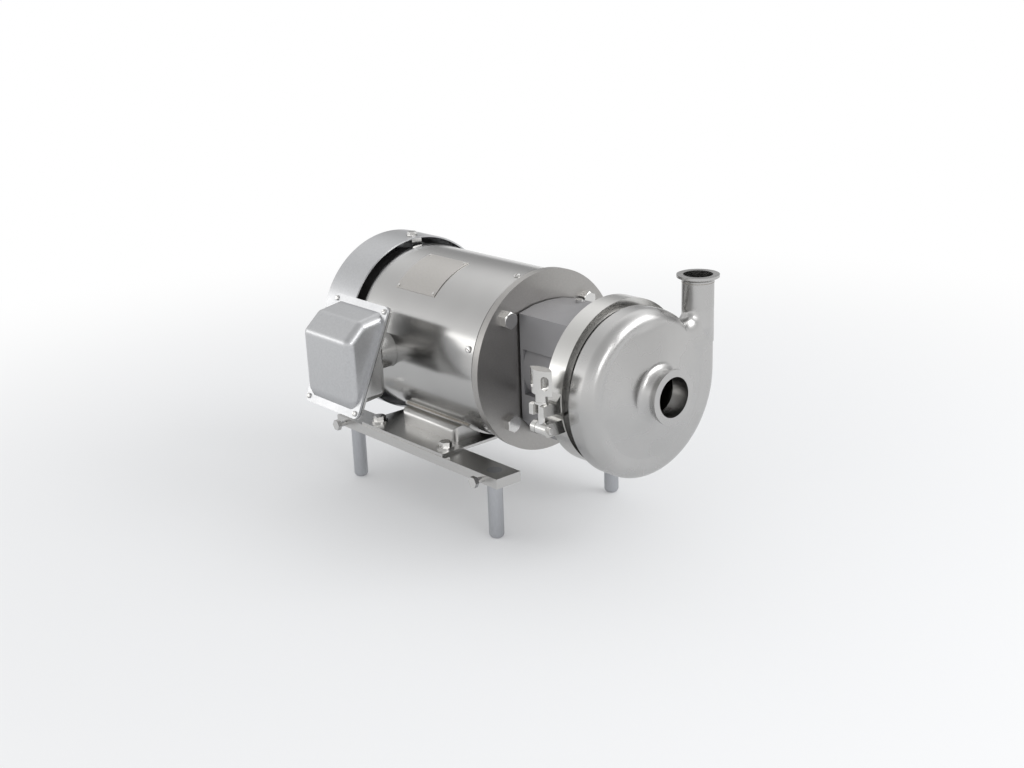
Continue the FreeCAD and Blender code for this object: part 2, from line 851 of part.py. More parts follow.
def box_plate(body, start, thickness):
    """The rounded plate of a box flange, from a depth outward."""
    sketch = sketch_on(body, "XZ_Plane", ("0", "0", start))
    polygon(sketch, [("-box_half_length", "-box_half_slant"), ("box_half_length", "-box_half_slant"),
                     ("box_half_length", "box_half_slant"), ("-box_half_length", "box_half_slant")])
    plate = raise_from(body, sketch, thickness)
    return soften(body, plate, "box_flange_round", plate_corner)


def box_hump(body, corners, half_length):
    """A prism along the shaft with the given (outward depth, height) section."""
    sketch = sketch_on(body, "YZ_Plane", ("0", "0", f"-({half_length})"))
    polygon(sketch, [(f"-({depth})", height) for depth, height in corners])
    return raise_from(body, sketch, f"2 * ({half_length})")


def screw_holes(body, start, radius):
    """Four corner holes through a box flange."""
    sketch = sketch_on(body, "XZ_Plane", ("0", "0", start))
    for side in (-1, 1):
        for end in (-1, 1):
            circle(sketch, f"{side} * (box_half_length - box_screw_inset)",
                   f"{end} * (box_half_slant - box_screw_inset)", radius)
    cut_from(body, sketch, "3 * box_flange")


def drawn_in(corners, wall):
    """Corners moved inward by a wall, each in its own direction in the section."""
    return [(f"{u} + {wall} * {step_u}", f"{v} + {wall} * {step_v}") for u, v, step_u, step_v in corners]


def cover_section(wall):
    """Section of the cover as (outward depth, height), drawn in by a wall."""
    return drawn_in([("box_gasket / 2", "box_half_slant - cover_inset", -2, -1),
                     ("cover_shoulder_depth", "cover_shoulder", -1, -0.5),
                     ("cover_peak_depth", "cover_peak", -1, -0.2),
                     ("cover_foot_depth", "-cover_foot", -1, 0.6),
                     ("box_gasket / 2", "-box_half_slant + cover_inset", -2, 1)], wall)


def box_shell(name, section, edge_round, plate_start, hole_start, picked, extra_cuts=()):
    """A hollow rounded half of the box with its flange."""
    half_length = "box_half_length - cover_inset"
    outer = new_body(name + "_outer")
    hump = box_hump(outer, section("0"), half_length)
    soften(outer, hump, edge_round, picked)
    box_plate(outer, plate_start, "box_flange")
    screw_holes(outer, hole_start, "box_screw_shank + running")
    inner = new_body(name + "_inner")
    hollow = box_hump(inner, section("box_wall"), half_length + " - box_wall")
    soften(inner, hollow, edge_round + " - box_wall", picked)
    box_node(join("Cut", [outer, inner, *extra_cuts]), name)


def conduit_cover():
    box_shell("conduit_box_cover", cover_section, "cover_edge_round", "box_gasket / 2", "2 * box_flange",
              lambda edge: edge.BoundBox.YMin < amount("-box_gasket"))


def base_section(wall):
    """Section of the base: its motor side is upright once the box is tilted."""
    upright = f"-(base_top + base_inner_low) * {SLOPE}"
    return drawn_in([("-box_gasket / 2", "base_top", 2, 2.2),
                     (upright, "-base_inner_low", 1, 0.3),
                     (f"{upright} + base_knee", "-base_corner", 1, 1),
                     ("-base_low_depth", "-base_low", -0.3, 1.5),
                     ("-box_gasket / 2", "-base_low", 2, 1.5)], wall)


def conduit_base():
    level = Rotation(Vector(1, 0, 0), amount("box_tilt") - 90)
    along = "entry_reach * cos(box_tilt * 1 deg) + box_middle_z * sin(box_tilt * 1 deg)"
    up = "entry_reach * sin(box_tilt * 1 deg) - box_middle_z * cos(box_tilt * 1 deg)"
    entry = primitive("Part::Cylinder", ("0", along, up), level,
                      {"Radius": "neck_bore", "Height": "box_half_length"})
    box_shell("conduit_box_base", base_section, "base_edge_round", "-box_gasket / 2 - box_flange", "0",
              lambda edge: edge.BoundBox.YMax > amount("box_gasket"), [entry])


def conduit_trim():
    gasket = new_body("conduit_box_gasket")
    box_plate(gasket, "-box_gasket / 2", "box_gasket")
    sketch = sketch_on(gasket, "XZ_Plane", ("0", "0", "box_gasket"))
    side = "(box_half_length - gasket_inset)"
    low = "-box_half_slant + gasket_low_inset"
    high = "box_half_slant - gasket_top_inset"
    polygon(sketch, [(f"-{side}", low), (side, low), (side, high), (f"-{side}", high)])
    cut_from(gasket, sketch, "2 * box_gasket")
    screw_holes(gasket, "box_flange", "box_screw_shank + running")
    box_node(gasket, "conduit_box_gasket")
    screws = []
    for side in (-1, 1):
        for end in (-1, 1):
            x = f"{side} * (box_half_length - box_screw_inset)"
            z = f"{end} * (box_half_slant - box_screw_inset)"
            face = "-box_flange - box_gasket / 2"
            shank = rod("y", (x, face, z), "box_screw_shank", "2 * box_flange + box_gasket")
            head = rod("y", (x, f"{face} - box_screw_head", z), "box_screw", "box_screw_head")
            screws.append(join("MultiFuse", [shank, head]))
    bundle = doc.addObject("Part::Compound", "group_conduit_box_screws")
    bundle.Links = screws
    box_node(bundle, "conduit_box_screws")


# The box stands on a short round neck that enters the shell; the terminal block sits inside the base
BASE_INNER_Y = "(box_middle_y - base_top * sin(box_tilt * 1 deg))"


def conduit_neck():
    start = f"-({BASE_INNER_Y}) + seat"
    length = f"{BASE_INNER_Y} - seat - shell_radius + shell_wall"
    outer = rod("y", ("-box_middle_x", start, "0"), "neck_radius", length)
    inner = rod("y", ("-box_middle_x", start, "0"), "neck_bore", length)
    neck = join("Cut", [outer, inner])
    node(neck, "conduit_neck")


def terminal_block():
    back = f"-({BASE_INNER_Y}) - box_wall - seat"
    low = "neck_bore + terminal_rise"
    body = block(("-box_middle_x - terminal_half_length", f"{back} - terminal_depth", low),
                 "2 * terminal_half_length",
                 "terminal_depth", "terminal_height")
    posts = []
    for shift in (-1, 0, 1):
        place = (f"-box_middle_x + {shift} * terminal_half_length / 2",
                 f"{back} - terminal_depth - terminal_post",
                 f"{low} + terminal_height / 2")
        posts.append(rod("y", place, "terminal_post / 2", "terminal_post + past"))
    node(join("MultiFuse", [body] + posts), "terminal_block")


# Motor foot: plate, wrapped saddle and a rounded riser each side, welded as one
def motor_foot():
    body = new_body("motor_foot")
    plate_sketch = sketch_on(body, "XY_Plane", ("0", "0", f"-{FOOT_DROP}"))
    polygon(plate_sketch, [("-foot_front", "-foot_half_width"), ("-foot_front", "foot_half_width"),
                           ("-foot_back", "foot_half_width"), ("-foot_back", "-foot_half_width")])
    for x in ("-foot_bolt_front", "-foot_bolt_front - foot_bolt_pitch"):
        for side in (-1, 1):
            circle(plate_sketch, x, f"{side} * foot_bolt_y", "foot_bolt_shank + seat")
    raise_from(body, plate_sketch, "foot_plate")
    plate_top = f"(-{FOOT_DROP} + foot_plate)"
    for side in (-1, 1):
        riser_sketch = sketch_on(body, "YZ_Plane", ("0", "0", "-riser_front - riser_length"))
        riser_top = f"{plate_top} + riser_height"
        polygon(riser_sketch, [(f"{side} * riser_outer", f"{plate_top} - foot_plate / 2"),
                               (f"{side} * riser_outer", riser_top),
                               (f"{side} * (riser_outer - riser_crest)", f"{riser_top} + riser_lean"),
                               (f"{side} * riser_inner", f"{plate_top} + riser_toe"),
                               (f"{side} * riser_inner", f"{plate_top} - foot_plate / 2")])
        riser = raise_from(body, riser_sketch, "riser_length")
        soften(body, riser, "riser_round", lambda edge: riser_edge(edge, side))
    saddle_sketch = sketch_on(body, "XZ_Plane", turn="180 - saddle_span / 2")
    polygon(saddle_sketch,
            [("-saddle_front", "shell_radius"), ("-saddle_front", "shell_radius + saddle_thickness"),
             ("-saddle_front - saddle_length", "shell_radius + saddle_thickness"),
             ("-saddle_front - saddle_length", "shell_radius")])
    turn_round(body, saddle_sketch, angle="saddle_span")
    clear_sketch = sketch_on(body, "YZ_Plane", ("0", "0", "-foot_back - past"))
    circle(clear_sketch, "0", "0", "shell_radius")
    cut_from(body, clear_sketch, "foot_back", reverse=True)
    node(body, "motor_foot")


def riser_edge(edge, side):
    """The outer top edge of a riser and the two edges that rise to it."""
    box = edge.BoundBox
    outer = near(side * box.Center.y, "riser_outer")
    half_up = amount(f"foot_plate - {FOOT_DROP} + riser_height / 2")
    long_edge = box.XLength > amount("riser_length / 2") and box.ZMin > half_up
    upright = box.ZLength > amount("riser_height / 2") and box.XLength < CLOSE
    return outer and (long_edge or upright)


def foot_fixings():
    bolts = []
    washers = []
    top = f"-{FOOT_DROP} + foot_plate"
    for x in ("-foot_bolt_front", "-foot_bolt_front - foot_bolt_pitch"):
        for side in (-1, 1):
            y = f"{side} * foot_bolt_y"
            shank = rod("z", (x, y, f"-{FOOT_DROP} - bar_thickness"), "foot_bolt_shank",
                        "bar_thickness + foot_plate + washer_thickness")
            head = bolt_head(Rotation(), (x, y, f"{top} + washer_thickness"), "foot_bolt_flats",
                             "foot_bolt_head")
            bolts.append(join("MultiFuse", [shank, head]))
            washers.append(join("Cut", [rod("z", (x, y, top), "washer_radius", "washer_thickness"),
                                        rod("z", (x, y, top), "foot_bolt_shank + running",
                                            "washer_thickness")]))
    group("foot_bolts", bolts)
    group("foot_washers", washers)


# Bars, legs and the screws that lock the legs
def base_bar(name, side):
    low = f"-{FOOT_DROP} - bar_thickness"
    bar = block(("-bar_back", f"{side} * bar_y - bar_width / 2", low), "bar_back + bar_front", "bar_width",
                "bar_thickness")
    cuts = []
    for x in ("-foot_bolt_front", "-foot_bolt_front - foot_bolt_pitch"):
        cuts.append(rod("z", (x, f"{side} * foot_bolt_y", low), "foot_bolt_shank + running",
                        "bar_thickness"))
    for x in ("leg_front_x", "leg_front_x - leg_pitch"):
        cuts.append(rod("z", (x, f"{side} * bar_y", low), "leg_radius + running", "bar_thickness"))
        start = f"{side} * bar_y" if side > 0 else "-bar_y - bar_width / 2"
        cuts.append(rod("y", (x, start, f"{low} + bar_thickness / 2"), "lock_shank + running",
                        "bar_width / 2"))
    node(join("Cut", [bar] + cuts), name)


def leg(name, x, side):
    body = new_body(name)
    sketch = sketch_on(body, "XY_Plane", ("0", "0", "-shaft_height"))
    circle(sketch, x, f"{side} * bar_y", "leg_radius")
    stem = raise_from(body, sketch, f"shaft_height - {FOOT_DROP}")
    soften(body, stem, "leg_round", lambda edge: near(edge.BoundBox.ZMax, "-shaft_height"))
    node(body, name)


def lock_screws():
    screws = []
    z = f"-{FOOT_DROP} - bar_thickness / 2"
    for x in ("leg_front_x", "leg_front_x - leg_pitch"):
        for side in (-1, 1):
            tip = "bar_y + leg_radius + 2 * running"
            face = "bar_y + bar_width / 2 + lock_stand_off"
            length = f"{face} - ({tip})"
            start = tip if side > 0 else f"-({face})"
            shank = rod("y", (x, start, z), "lock_shank", length)
            head_start = face if side > 0 else f"-({face}) - lock_head"
            head = hexagon(TURNS["y"], (x, head_start, z), "lock_flats", "lock_head")
            screws.append(join("MultiFuse", [shank, head]))
    group("leg_lock_screws", screws)


# Adapter flange, adapter casting, guards and fasteners
def adapter_flange():
    body = new_body("adapter_flange")
    sketch = sketch_on(body, "XZ_Plane")
    pilot = f"{PILOT_RADIUS} + running"
    polygon(sketch, [("0", "register_radius"), ("0", "disc_radius"), ("-disc_thickness", "disc_radius"),
                     ("-disc_thickness", pilot), ("-disc_thickness + pilot_depth", pilot),
                     ("-disc_thickness + pilot_depth", "register_radius")])
    turn_round(body, sketch)
    holes = sketch_on(body, "YZ_Plane", ("0", "0", "-2 * disc_thickness"))
    offset = "bolt_circle * sqrt(0.5)"
    for u in (-1, 1):
        for v in (-1, 1):
            circle(holes, f"{u} * {offset}", f"{v} * {offset}", "bolt_hole")
    cut_from(body, holes, "3 * disc_thickness", reverse=True)
    node(body, "adapter_flange")


def adapter_bolts():
    bolts = []
    for u in (-1, 1):
        for v in (-1, 1):
            y = f"{u} * bolt_circle * sqrt(0.5)"
            z = f"{v} * bolt_circle * sqrt(0.5)"
            shank = rod("x", ("-disc_thickness + pilot_depth", y, z), "bolt_shank",
                        "disc_thickness - pilot_depth")
            head = bolt_head(TURNS["x"], ("0", y, z), "bolt_flats", "bolt_head")
            bolts.append(join("MultiFuse", [shank, head]))
    group("adapter_bolts", bolts)


def adapter_section(wall):
    """Arched section of the casting, its lower corners cut off, drawn in by a wall."""
    crown = "adapter_crown - adapter_crown_drop"
    return drawn_in([("-adapter_half_width", "adapter_shoulder", 1, -1),
                     ("-adapter_crown_half", crown, 0, -1),
                     ("0", "adapter_crown", 0, -1), ("adapter_crown_half", crown, 0, -1),
                     ("adapter_half_width", "adapter_shoulder", -1, -1),
                     ("adapter_half_width", "-adapter_belly", -1, 0.5),
                     ("adapter_base_half", "-adapter_base", -0.4, 1),
                     ("-adapter_base_half", "-adapter_base", 0.4, 1),
                     ("-adapter_half_width", "-adapter_belly", 1, 0.5)], wall)


ADAPTER_RIM_X = "clamp_back + clamp_lip + rim_clearance"
STACK_X = "clamp_back + clamp_lip + clamp_flank + rim_clearance + rim_land"


def adapter():
    body = new_body("adapter")
    core = sketch_on(body, "YZ_Plane", ("0", "0", "adapter_relief"))
    polygon(core, adapter_section("0"))
    raise_from(body, core, "adapter_length - adapter_relief")
    ring = sketch_on(body, "XZ_Plane")
    polygon(ring,
            [("adapter_length - adapter_flare", "adapter_ring_bore"), ("adapter_length", "neck_outer"),
             (ADAPTER_RIM_X, "neck_outer"),
             (f"{ADAPTER_RIM_X} + clamp_flank", "clamp_groove - rim_clearance"),
             (STACK_X, "clamp_groove - rim_clearance"), (STACK_X, "adapter_ring_bore")])
    turn_round(body, ring)
    spigot = sketch_on(body, "YZ_Plane", ("0", "0", "-register_depth"))
    circle(spigot, "0", "0", "register_radius - running")
    raise_from(body, spigot, "register_depth + adapter_relief + past")
    hollow = sketch_on(body, "YZ_Plane", ("0", "0", "adapter_wall"))
    polygon(hollow, adapter_section("adapter_wall"))
    cut_from(body, hollow, "clamp_back", reverse=True)
    bore = sketch_on(body, "YZ_Plane", ("0", "0", "-2 * register_depth"))
    circle(bore, "0", "0", "register_radius - register_wall")
    cut_from(body, bore, "adapter_wall + 3 * register_depth", reverse=True)
    mouth = sketch_on(body, "YZ_Plane", ("0", "0", "adapter_length"))
    circle(mouth, "0", "0", "adapter_mouth")
    cut_from(body, mouth, "clamp_width", reverse=True)
    window = sketch_on(body, "XZ_Plane", ("0", "0", "-adapter_half_width - past"))
    polygon(window, [("window_front", "-window_bottom"), ("window_back", "-window_bottom"),
                     ("window_back", "window_top"), ("window_front", "window_top")])
    cut_from(body, window, "2 * (adapter_half_width + past)", reverse=True)
    node(body, "adapter")


def shaft_guards():
    guards = []
    front = "window_front + seat"
    length = "window_back - window_front - 2 * seat"
    for start in ("-guard_radius - past", "guard_edge"):
        ring = join("Cut", [rod("x", (front, "0", "0"), "guard_radius", length),
                            rod("x", (front, "0", "0"), "guard_radius - guard_wall", length)])
        slab = block(("window_front", start, "-window_bottom + seat"), "window_back - window_front",
                     "guard_radius + past - guard_edge", "window_bottom + window_top - 2 * seat")
        guards.append(join("MultiCommon", [ring, slab]))
    group("shaft_guards", guards)


def adapter_screw():
    place = ("top_screw_x", "top_screw_y", "adapter_crown - top_screw_sink")
    group("adapter_screw", [rod("z", place, "top_screw_head", "top_screw_height")])


# Clamp joint: two channel halves, hinge, swing bolt and wing nut
def clamp_profile(sketch):
    front = "clamp_back + clamp_width"
    polygon(sketch, [("clamp_back", "clamp_lip_radius"), ("clamp_back + clamp_lip", "clamp_lip_radius"),
                     ("clamp_back + clamp_lip + clamp_flank", "clamp_groove"),
                     (f"{front} - clamp_lip - clamp_flank", "clamp_groove"),
                     (f"{front} - clamp_lip", "clamp_lip_radius"), (front, "clamp_lip_radius"),
                     (front, "clamp_radius"), ("clamp_back", "clamp_radius")])


EAR_X = "clamp_back + (clamp_width - ear_width) / 2"
MIDDLE_X = "clamp_back + clamp_width / 2"
THIRD = "ear_width / 3"


def clamp_band(name, start, span):
    body = new_body(name)
    sketch = sketch_on(body, "XZ_Plane", turn=start)
    clamp_profile(sketch)
    turn_round(body, sketch, angle=span)
    return body


def bolt_ear():
    """Upper ear with a round seat centred on the bolt's pivot, so that the bolt swings clear."""
    low = "-split_height + split_gap / 2 + past"
    crest = rod("x", (EAR_X, "-pivot_y", "-pivot_z"), "seat_radius", "ear_width")
    slab = block((EAR_X, "-pivot_y - ear_reach", low), "ear_width",
                 "pivot_y + ear_reach - clamp_groove - past",
                 "ear_height")
    web = new_body("ear_web")
    sketch = sketch_on(web, "YZ_Plane", ("0", "0", EAR_X))
    root = "-pivot_y + clamp_washer_radius + web_clear"
    polygon(sketch, [("-clamp_radius + web_sink", "wing_bottom - past"), (root, "web_clear"), (root, low),
                     ("-clamp_groove - past", low)])
    raise_from(web, sketch, "ear_width")
    return [join("MultiCommon", [crest, slab]), web]


def hinge_lug(start, width, low):
    """One lug of the hinge: an eye round the pin and a block back to the band."""
    return [rod("x", (start, "hinge_y", "-split_height"), "hinge_eye", width),
            block((start, "clamp_groove + past", low), width, "hinge_y + hinge_eye - clamp_groove - past",
                  "hinge_lug - seat")]


def hinge_gap(starts, width):
    """Room beside one half's lugs for the lugs of the other half."""
    return [block((start, "hinge_y - hinge_eye - seat", "-split_height - hinge_eye - seat"), width,
                  "hinge_reach",
                  "2 * (hinge_eye + seat)") for start in starts]


def pivot_fork():
    """Lower fork that carries the swing bolt."""
    return [rod("x", (EAR_X, "-pivot_y", "-pivot_z"), "eye_radius", "ear_width"),
            block((EAR_X, "-pivot_y", "-pivot_z - eye_radius"), "ear_width",
                  "pivot_y - clamp_groove + fork_sink",
                  "2 * eye_radius")]


def clamp():
    split_turn = "asin(split_height / clamp_radius)"
    half_gap = "asin(split_gap / 2 / clamp_radius)"
    upper_band = clamp_band("clamp_upper_band", f"(-90 * 1 deg - {split_turn} + {half_gap}) / 1 deg",
                            f"(180 * 1 deg + 2 * {split_turn} - 2 * {half_gap}) / 1 deg")
    lower_band = clamp_band("clamp_lower_band", f"(90 * 1 deg + {split_turn} + {half_gap}) / 1 deg",
                            f"(180 * 1 deg - 2 * {split_turn} - 2 * {half_gap}) / 1 deg")
    pin_hole = rod("x", (EAR_X, "hinge_y", "-split_height"), "hinge_pin + running", "ear_width")

    middle = f"{EAR_X} + {THIRD}"
    slot = block((f"{MIDDLE_X} - ear_slot / 2", "-pivot_y - slot_reach", "-split_height - slot_drop"),
                 "ear_slot",
                 "slot_reach + bolt_radius + past", "slot_height")
    upper_lug = hinge_lug(f"{middle} + seat", f"{THIRD} - 2 * seat", "-split_height + seat")
    upper_room = hinge_gap((f"{EAR_X} - seat", f"{EAR_X} + 2 * {THIRD}"), f"{THIRD} + seat")
    upper_solid = join("MultiFuse", [upper_band] + bolt_ear() + upper_lug)
    node(join("Cut", [upper_solid, slot, pin_hole] + upper_room), "clamp_upper")

    lower_lugs = hinge_lug(EAR_X, THIRD, "-split_height - hinge_lug")
    lower_lugs += hinge_lug(f"{EAR_X} + 2 * {THIRD}", THIRD, "-split_height - hinge_lug")
    groove = rod("x", ("clamp_back - past", "0", "0"), "clamp_groove", "clamp_width + 2 * past")
    added = join("Cut", [join("MultiFuse", pivot_fork() + lower_lugs), groove])
    fork_slot = block((f"{MIDDLE_X} - ear_slot / 2", "-pivot_y - slot_reach", "-pivot_z - slot_height / 2"),
                      "ear_slot",
                      "slot_reach + eye_radius + past", "slot_height")
    fork_hole = rod("x", (f"{EAR_X} - past", "-pivot_y", "-pivot_z"), "pivot_pin + running",
                    "ear_width + 2 * past")
    lower_solid = join("MultiFuse", [lower_band, added])
    node(join("Cut", [lower_solid, fork_slot, fork_hole, pin_hole] + hinge_gap((middle,), THIRD)),
         "clamp_lower")

    pin = rod("x", (f"{EAR_X} - hinge_pin_proud", "hinge_y", "-split_height"), "hinge_pin",
              "ear_width + 2 * hinge_pin_proud")
    group("clamp_hinge_pin", [pin])


WASHER_Z = "-pivot_z + seat_radius + washer_gap"


def swing_bolt():
    width = "ear_slot - 2 * seat"
    eye = rod("x", (f"{MIDDLE_X} - ({width}) / 2", "-pivot_y", "-pivot_z"), "eye_radius - seat", width)
    stem = rod("z", (MIDDLE_X, "-pivot_y", "-pivot_z + eye_root"), "bolt_radius",
               "bolt_top + pivot_z - eye_root")
    hole = rod("x", (f"{MIDDLE_X} - ear_slot", "-pivot_y", "-pivot_z"), "pivot_pin + running",
               "2 * ear_slot")
    node(join("Cut", [join("MultiFuse", [eye, stem]), hole]), "clamp_bolt")
    head = rod("x", (f"{EAR_X} - pin_head_length", "-pivot_y", "-pivot_z"), "pin_head", "pin_head_length")
    pin = rod("x", (EAR_X, "-pivot_y", "-pivot_z"), "pivot_pin", "ear_width + pin_head_length")
    node(join("MultiFuse", [head, pin]), "clamp_bolt_pin")
    disc = rod("z", (MIDDLE_X, "-pivot_y", WASHER_Z), "clamp_washer_radius", "clamp_washer_height")
    bore = rod("z", (MIDDLE_X, "-pivot_y", WASHER_Z), "bolt_radius + running", "clamp_washer_height")
    node(join("Cut", [disc, bore]), "clamp_washer")


def wing_nut():
    """Hub between two wings whose faces are arcs, each wing with a loop through it."""
    arc = "((wing_reach * wing_reach + wing_waist * wing_waist) / 2 / wing_waist)"
    height = "nut_top - wing_bottom"
    faces = []
    for side in (-1, 1):
        place = (MIDDLE_X, f"-pivot_y + {side} * ({arc} - wing_waist)", "wing_bottom")
        faces.append(rod("z", place, arc, height))
    loops = []
    middle = "(wing_bottom + nut_top) / 2"
    for side in (-1, 1):
        x = f"{MIDDLE_X} + {side} * wing_loop_x"
        loops.append(block((f"{x} - wing_loop", "-pivot_y - wing_cut", f"{middle} - wing_loop_height / 2"),
                           "2 * wing_loop", "2 * wing_cut", "wing_loop_height"))
        for end in (-1, 1):
            place = (x, "-pivot_y - wing_cut", f"{middle} + {end} * wing_loop_height / 2")
            loops.append(rod("y", place, "wing_loop", "2 * wing_cut"))
    winged = join("Cut", [join("MultiCommon", faces)] + loops)
    hub_z = f"{WASHER_Z} + clamp_washer_height + running"
    hub = rod("z", (MIDDLE_X, "-pivot_y", hub_z), "nut_hub", f"nut_top - ({hub_z})")
    thread = rod("z", (MIDDLE_X, "-pivot_y", "0"), "bolt_radius + running", "bolt_top + past")
    node(join("Cut", [join("MultiFuse", [winged, hub]), thread]), "clamp_wing_nut")


# Back plate, gasket and casing
RIM_FRONT = "clamp_back + clamp_width - clamp_lip - rim_clearance"
CASING_RIM_X = f"{STACK_X} + back_plate_rim + casing_gap"
NECK_BORE = "(neck_outer - casing_wall)"


def back_plate():
    plug = f"{NECK_BORE} - plug_clearance"
    rim = "clamp_groove - rim_clearance"
    floor = "plug_front - plug_wall"
    turned("back_plate", [
        (STACK_X, rim),
        (f"{STACK_X} + back_plate_rim", rim),
        (f"{STACK_X} + back_plate_rim", plug),
        ("plug_front", plug),
        ("plug_front", "seal_bore"),
        (f"{floor} - plug_chamfer", "seal_bore"),
        (f"{floor} - plug_chamfer", "seal_outer + boss_wall"),
        (floor, "seal_outer + boss_wall + boss_foot"),
        (floor, f"{plug} - plug_wall - plug_chamfer"),
        (f"{floor} - plug_chamfer", f"{plug} - plug_wall"),
        (STACK_X, f"{plug} - plug_wall"),
    ])


def casing_gasket():
    inner = "neck_outer - gasket_width / 2"
    outer = "neck_outer + gasket_width / 2"
    turned("casing_gasket",
           [(CASING_RIM_X, inner), (CASING_RIM_X, outer), (f"{CASING_RIM_X} + gasket_width", outer),
            (f"{CASING_RIM_X} + gasket_width", inner)])


def volute(name, start, wall, length):
    """Spiral drum of quarter arcs whose centres step round a square, the fourth up to a level throat."""
    body = new_body(name)
    sketch = sketch_on(body, "YZ_Plane", ("0", "0", start))
    half = "volute_step / 2"
    radius = f"(volute_radius - {wall})"
    first = f"({radius} - volute_step)"
    rise = amount(f"throat_height - {wall} - {half}")
    begin = math.degrees(math.asin(rise / amount(first)))
    arcs = [("-" + half, half, first, begin, 90), ("-" + half, "-" + half, radius, 90, 180),
            (half, "-" + half, f"{radius} + volute_step", 180, 270),
            (half, half, f"{radius} + 2 * volute_step", 270, 360)]
    for index, (u, v, size, low, high) in enumerate(arcs):
        base = Part.Circle(Vector(amount(u), amount(v), 0), Vector(0, 0, 1), amount(size))
        sketch.addGeometry(Part.ArcOfCircle(base, math.radians(low), math.radians(high)))
        hold(sketch, "DistanceX", index, 3, u)
        hold(sketch, "DistanceY", index, 3, v)
    size_index = sketch.addConstraint(Sketcher.Constraint("Radius", 0, amount(first)))
    bind(sketch, f"Constraints[{size_index}]", first)
    for index in range(3):
        sketch.addConstraint(Sketcher.Constraint("Coincident", index, 2, index + 1, 1))
    for index, kind in enumerate(("Vertical", "Horizontal", "Vertical", "Horizontal")):
        sketch.addConstraint(Sketcher.Constraint(kind, index, 3, index, 2))
    outer_u = amount(half) + amount(arcs[3][2])
    inner_u = amount(first) * math.cos(math.radians(begin)) - amount(half)
    peak = amount(f"throat_height - {wall}")
    sketch.addGeometry(Part.LineSegment(Vector(outer_u, amount(half), 0), Vector(outer_u, peak, 0)))
    sketch.addGeometry(Part.LineSegment(Vector(outer_u, peak, 0), Vector(inner_u, peak, 0)))
    sketch.addConstraint(Sketcher.Constraint("Coincident", 3, 2, 4, 1))
    sketch.addConstraint(Sketcher.Constraint("Coincident", 4, 2, 5, 1))
    sketch.addConstraint(Sketcher.Constraint("Coincident", 5, 2, 0, 1))
    sketch.addConstraint(Sketcher.Constraint("Vertical", 4))
    sketch.addConstraint(Sketcher.Constraint("Horizontal", 5))
    hold(sketch, "DistanceY", 4, 2, f"throat_height - {wall}")
    return body, raise_from(body, sketch, length)


DISCHARGE_Y = "(volute_step / 2 + volute_radius + 2 * volute_step - discharge_tube)"
DISCHARGE_X = "(casing_back + casing_width / 2)"


def throat(name, tube, wall, start):
    """Short rounded square between the flat-sided drum and the round tube."""
    half_width = f"(casing_width / 2 - {wall})"
    body = new_body(name + "_throat")
    sketch = sketch_on(body, "XY_Plane", ("0", "0", f"{start} - throat_sink"))
    left = f"{DISCHARGE_X} - {half_width}"
    right = f"{DISCHARGE_X} + {half_width}"
    low = f"{DISCHARGE_Y} - {tube}"
    high = f"{DISCHARGE_Y} + {tube}"
    polygon(sketch, [(left, low), (right, low), (right, high), (left, high)])
    pad = raise_from(body, sketch, "throat_blend + throat_sink")
    soften(body, pad, f"throat_round - {wall}", lambda edge: edge.BoundBox.ZLength > amount("throat_blend"))
    corner = f"sqrt({half_width} * {half_width} + {tube} * {tube}) + throat_corner"
    draw = primitive("Part::Cone", (DISCHARGE_X, DISCHARGE_Y, f"{start} - throat_sink"), Rotation(),
                     {"Radius1": corner, "Radius2": f"{tube} * throat_draw",
                      "Height": "throat_blend + throat_sink"})
    return join("MultiCommon", [body, draw])


def outlet(name, tube, wall, top, lip):
    """Discharge tube about its own upright axis, growing out of the drum's throat."""
    start = f"throat_height - {wall}"
    half_width = f"(casing_width / 2 - {wall})"
    body = new_body(name)
    sketch = sketch_on(body, "XZ_Plane", (DISCHARGE_X, "0", f"-{DISCHARGE_Y}"))
    corners = [("0", f"{start} - throat_sink"), (half_width, f"{start} - throat_sink"), (half_width, start),
               (tube, f"{start} + throat_blend")]
    if lip:
        corners += [(tube, f"{top} - ferrule_lip - ferrule_taper"), (lip, f"{top} - ferrule_lip"),
                    (lip, top)]
    else:
        corners += [(tube, top)]
    polygon(sketch, corners + [("0", top)])
    turn_round(body, sketch, axis="V_Axis")
    return join("MultiFuse", [body, throat(name, tube, wall, start)])


def turned_body(name, corners):
    body = new_body(name)
    sketch = sketch_on(body, "XZ_Plane")
    polygon(sketch, corners)
    return body, turn_round(body, sketch)


def round_front(body, drum, front, top, radius):
    """Round the outline of a drum's front face, but not its level top."""
    x = amount(front)
    z = amount(top)
    soften(body, drum, radius,
           lambda edge: edge.BoundBox.XMin > x - CLOSE and edge.BoundBox.ZMin < z - CLOSE)


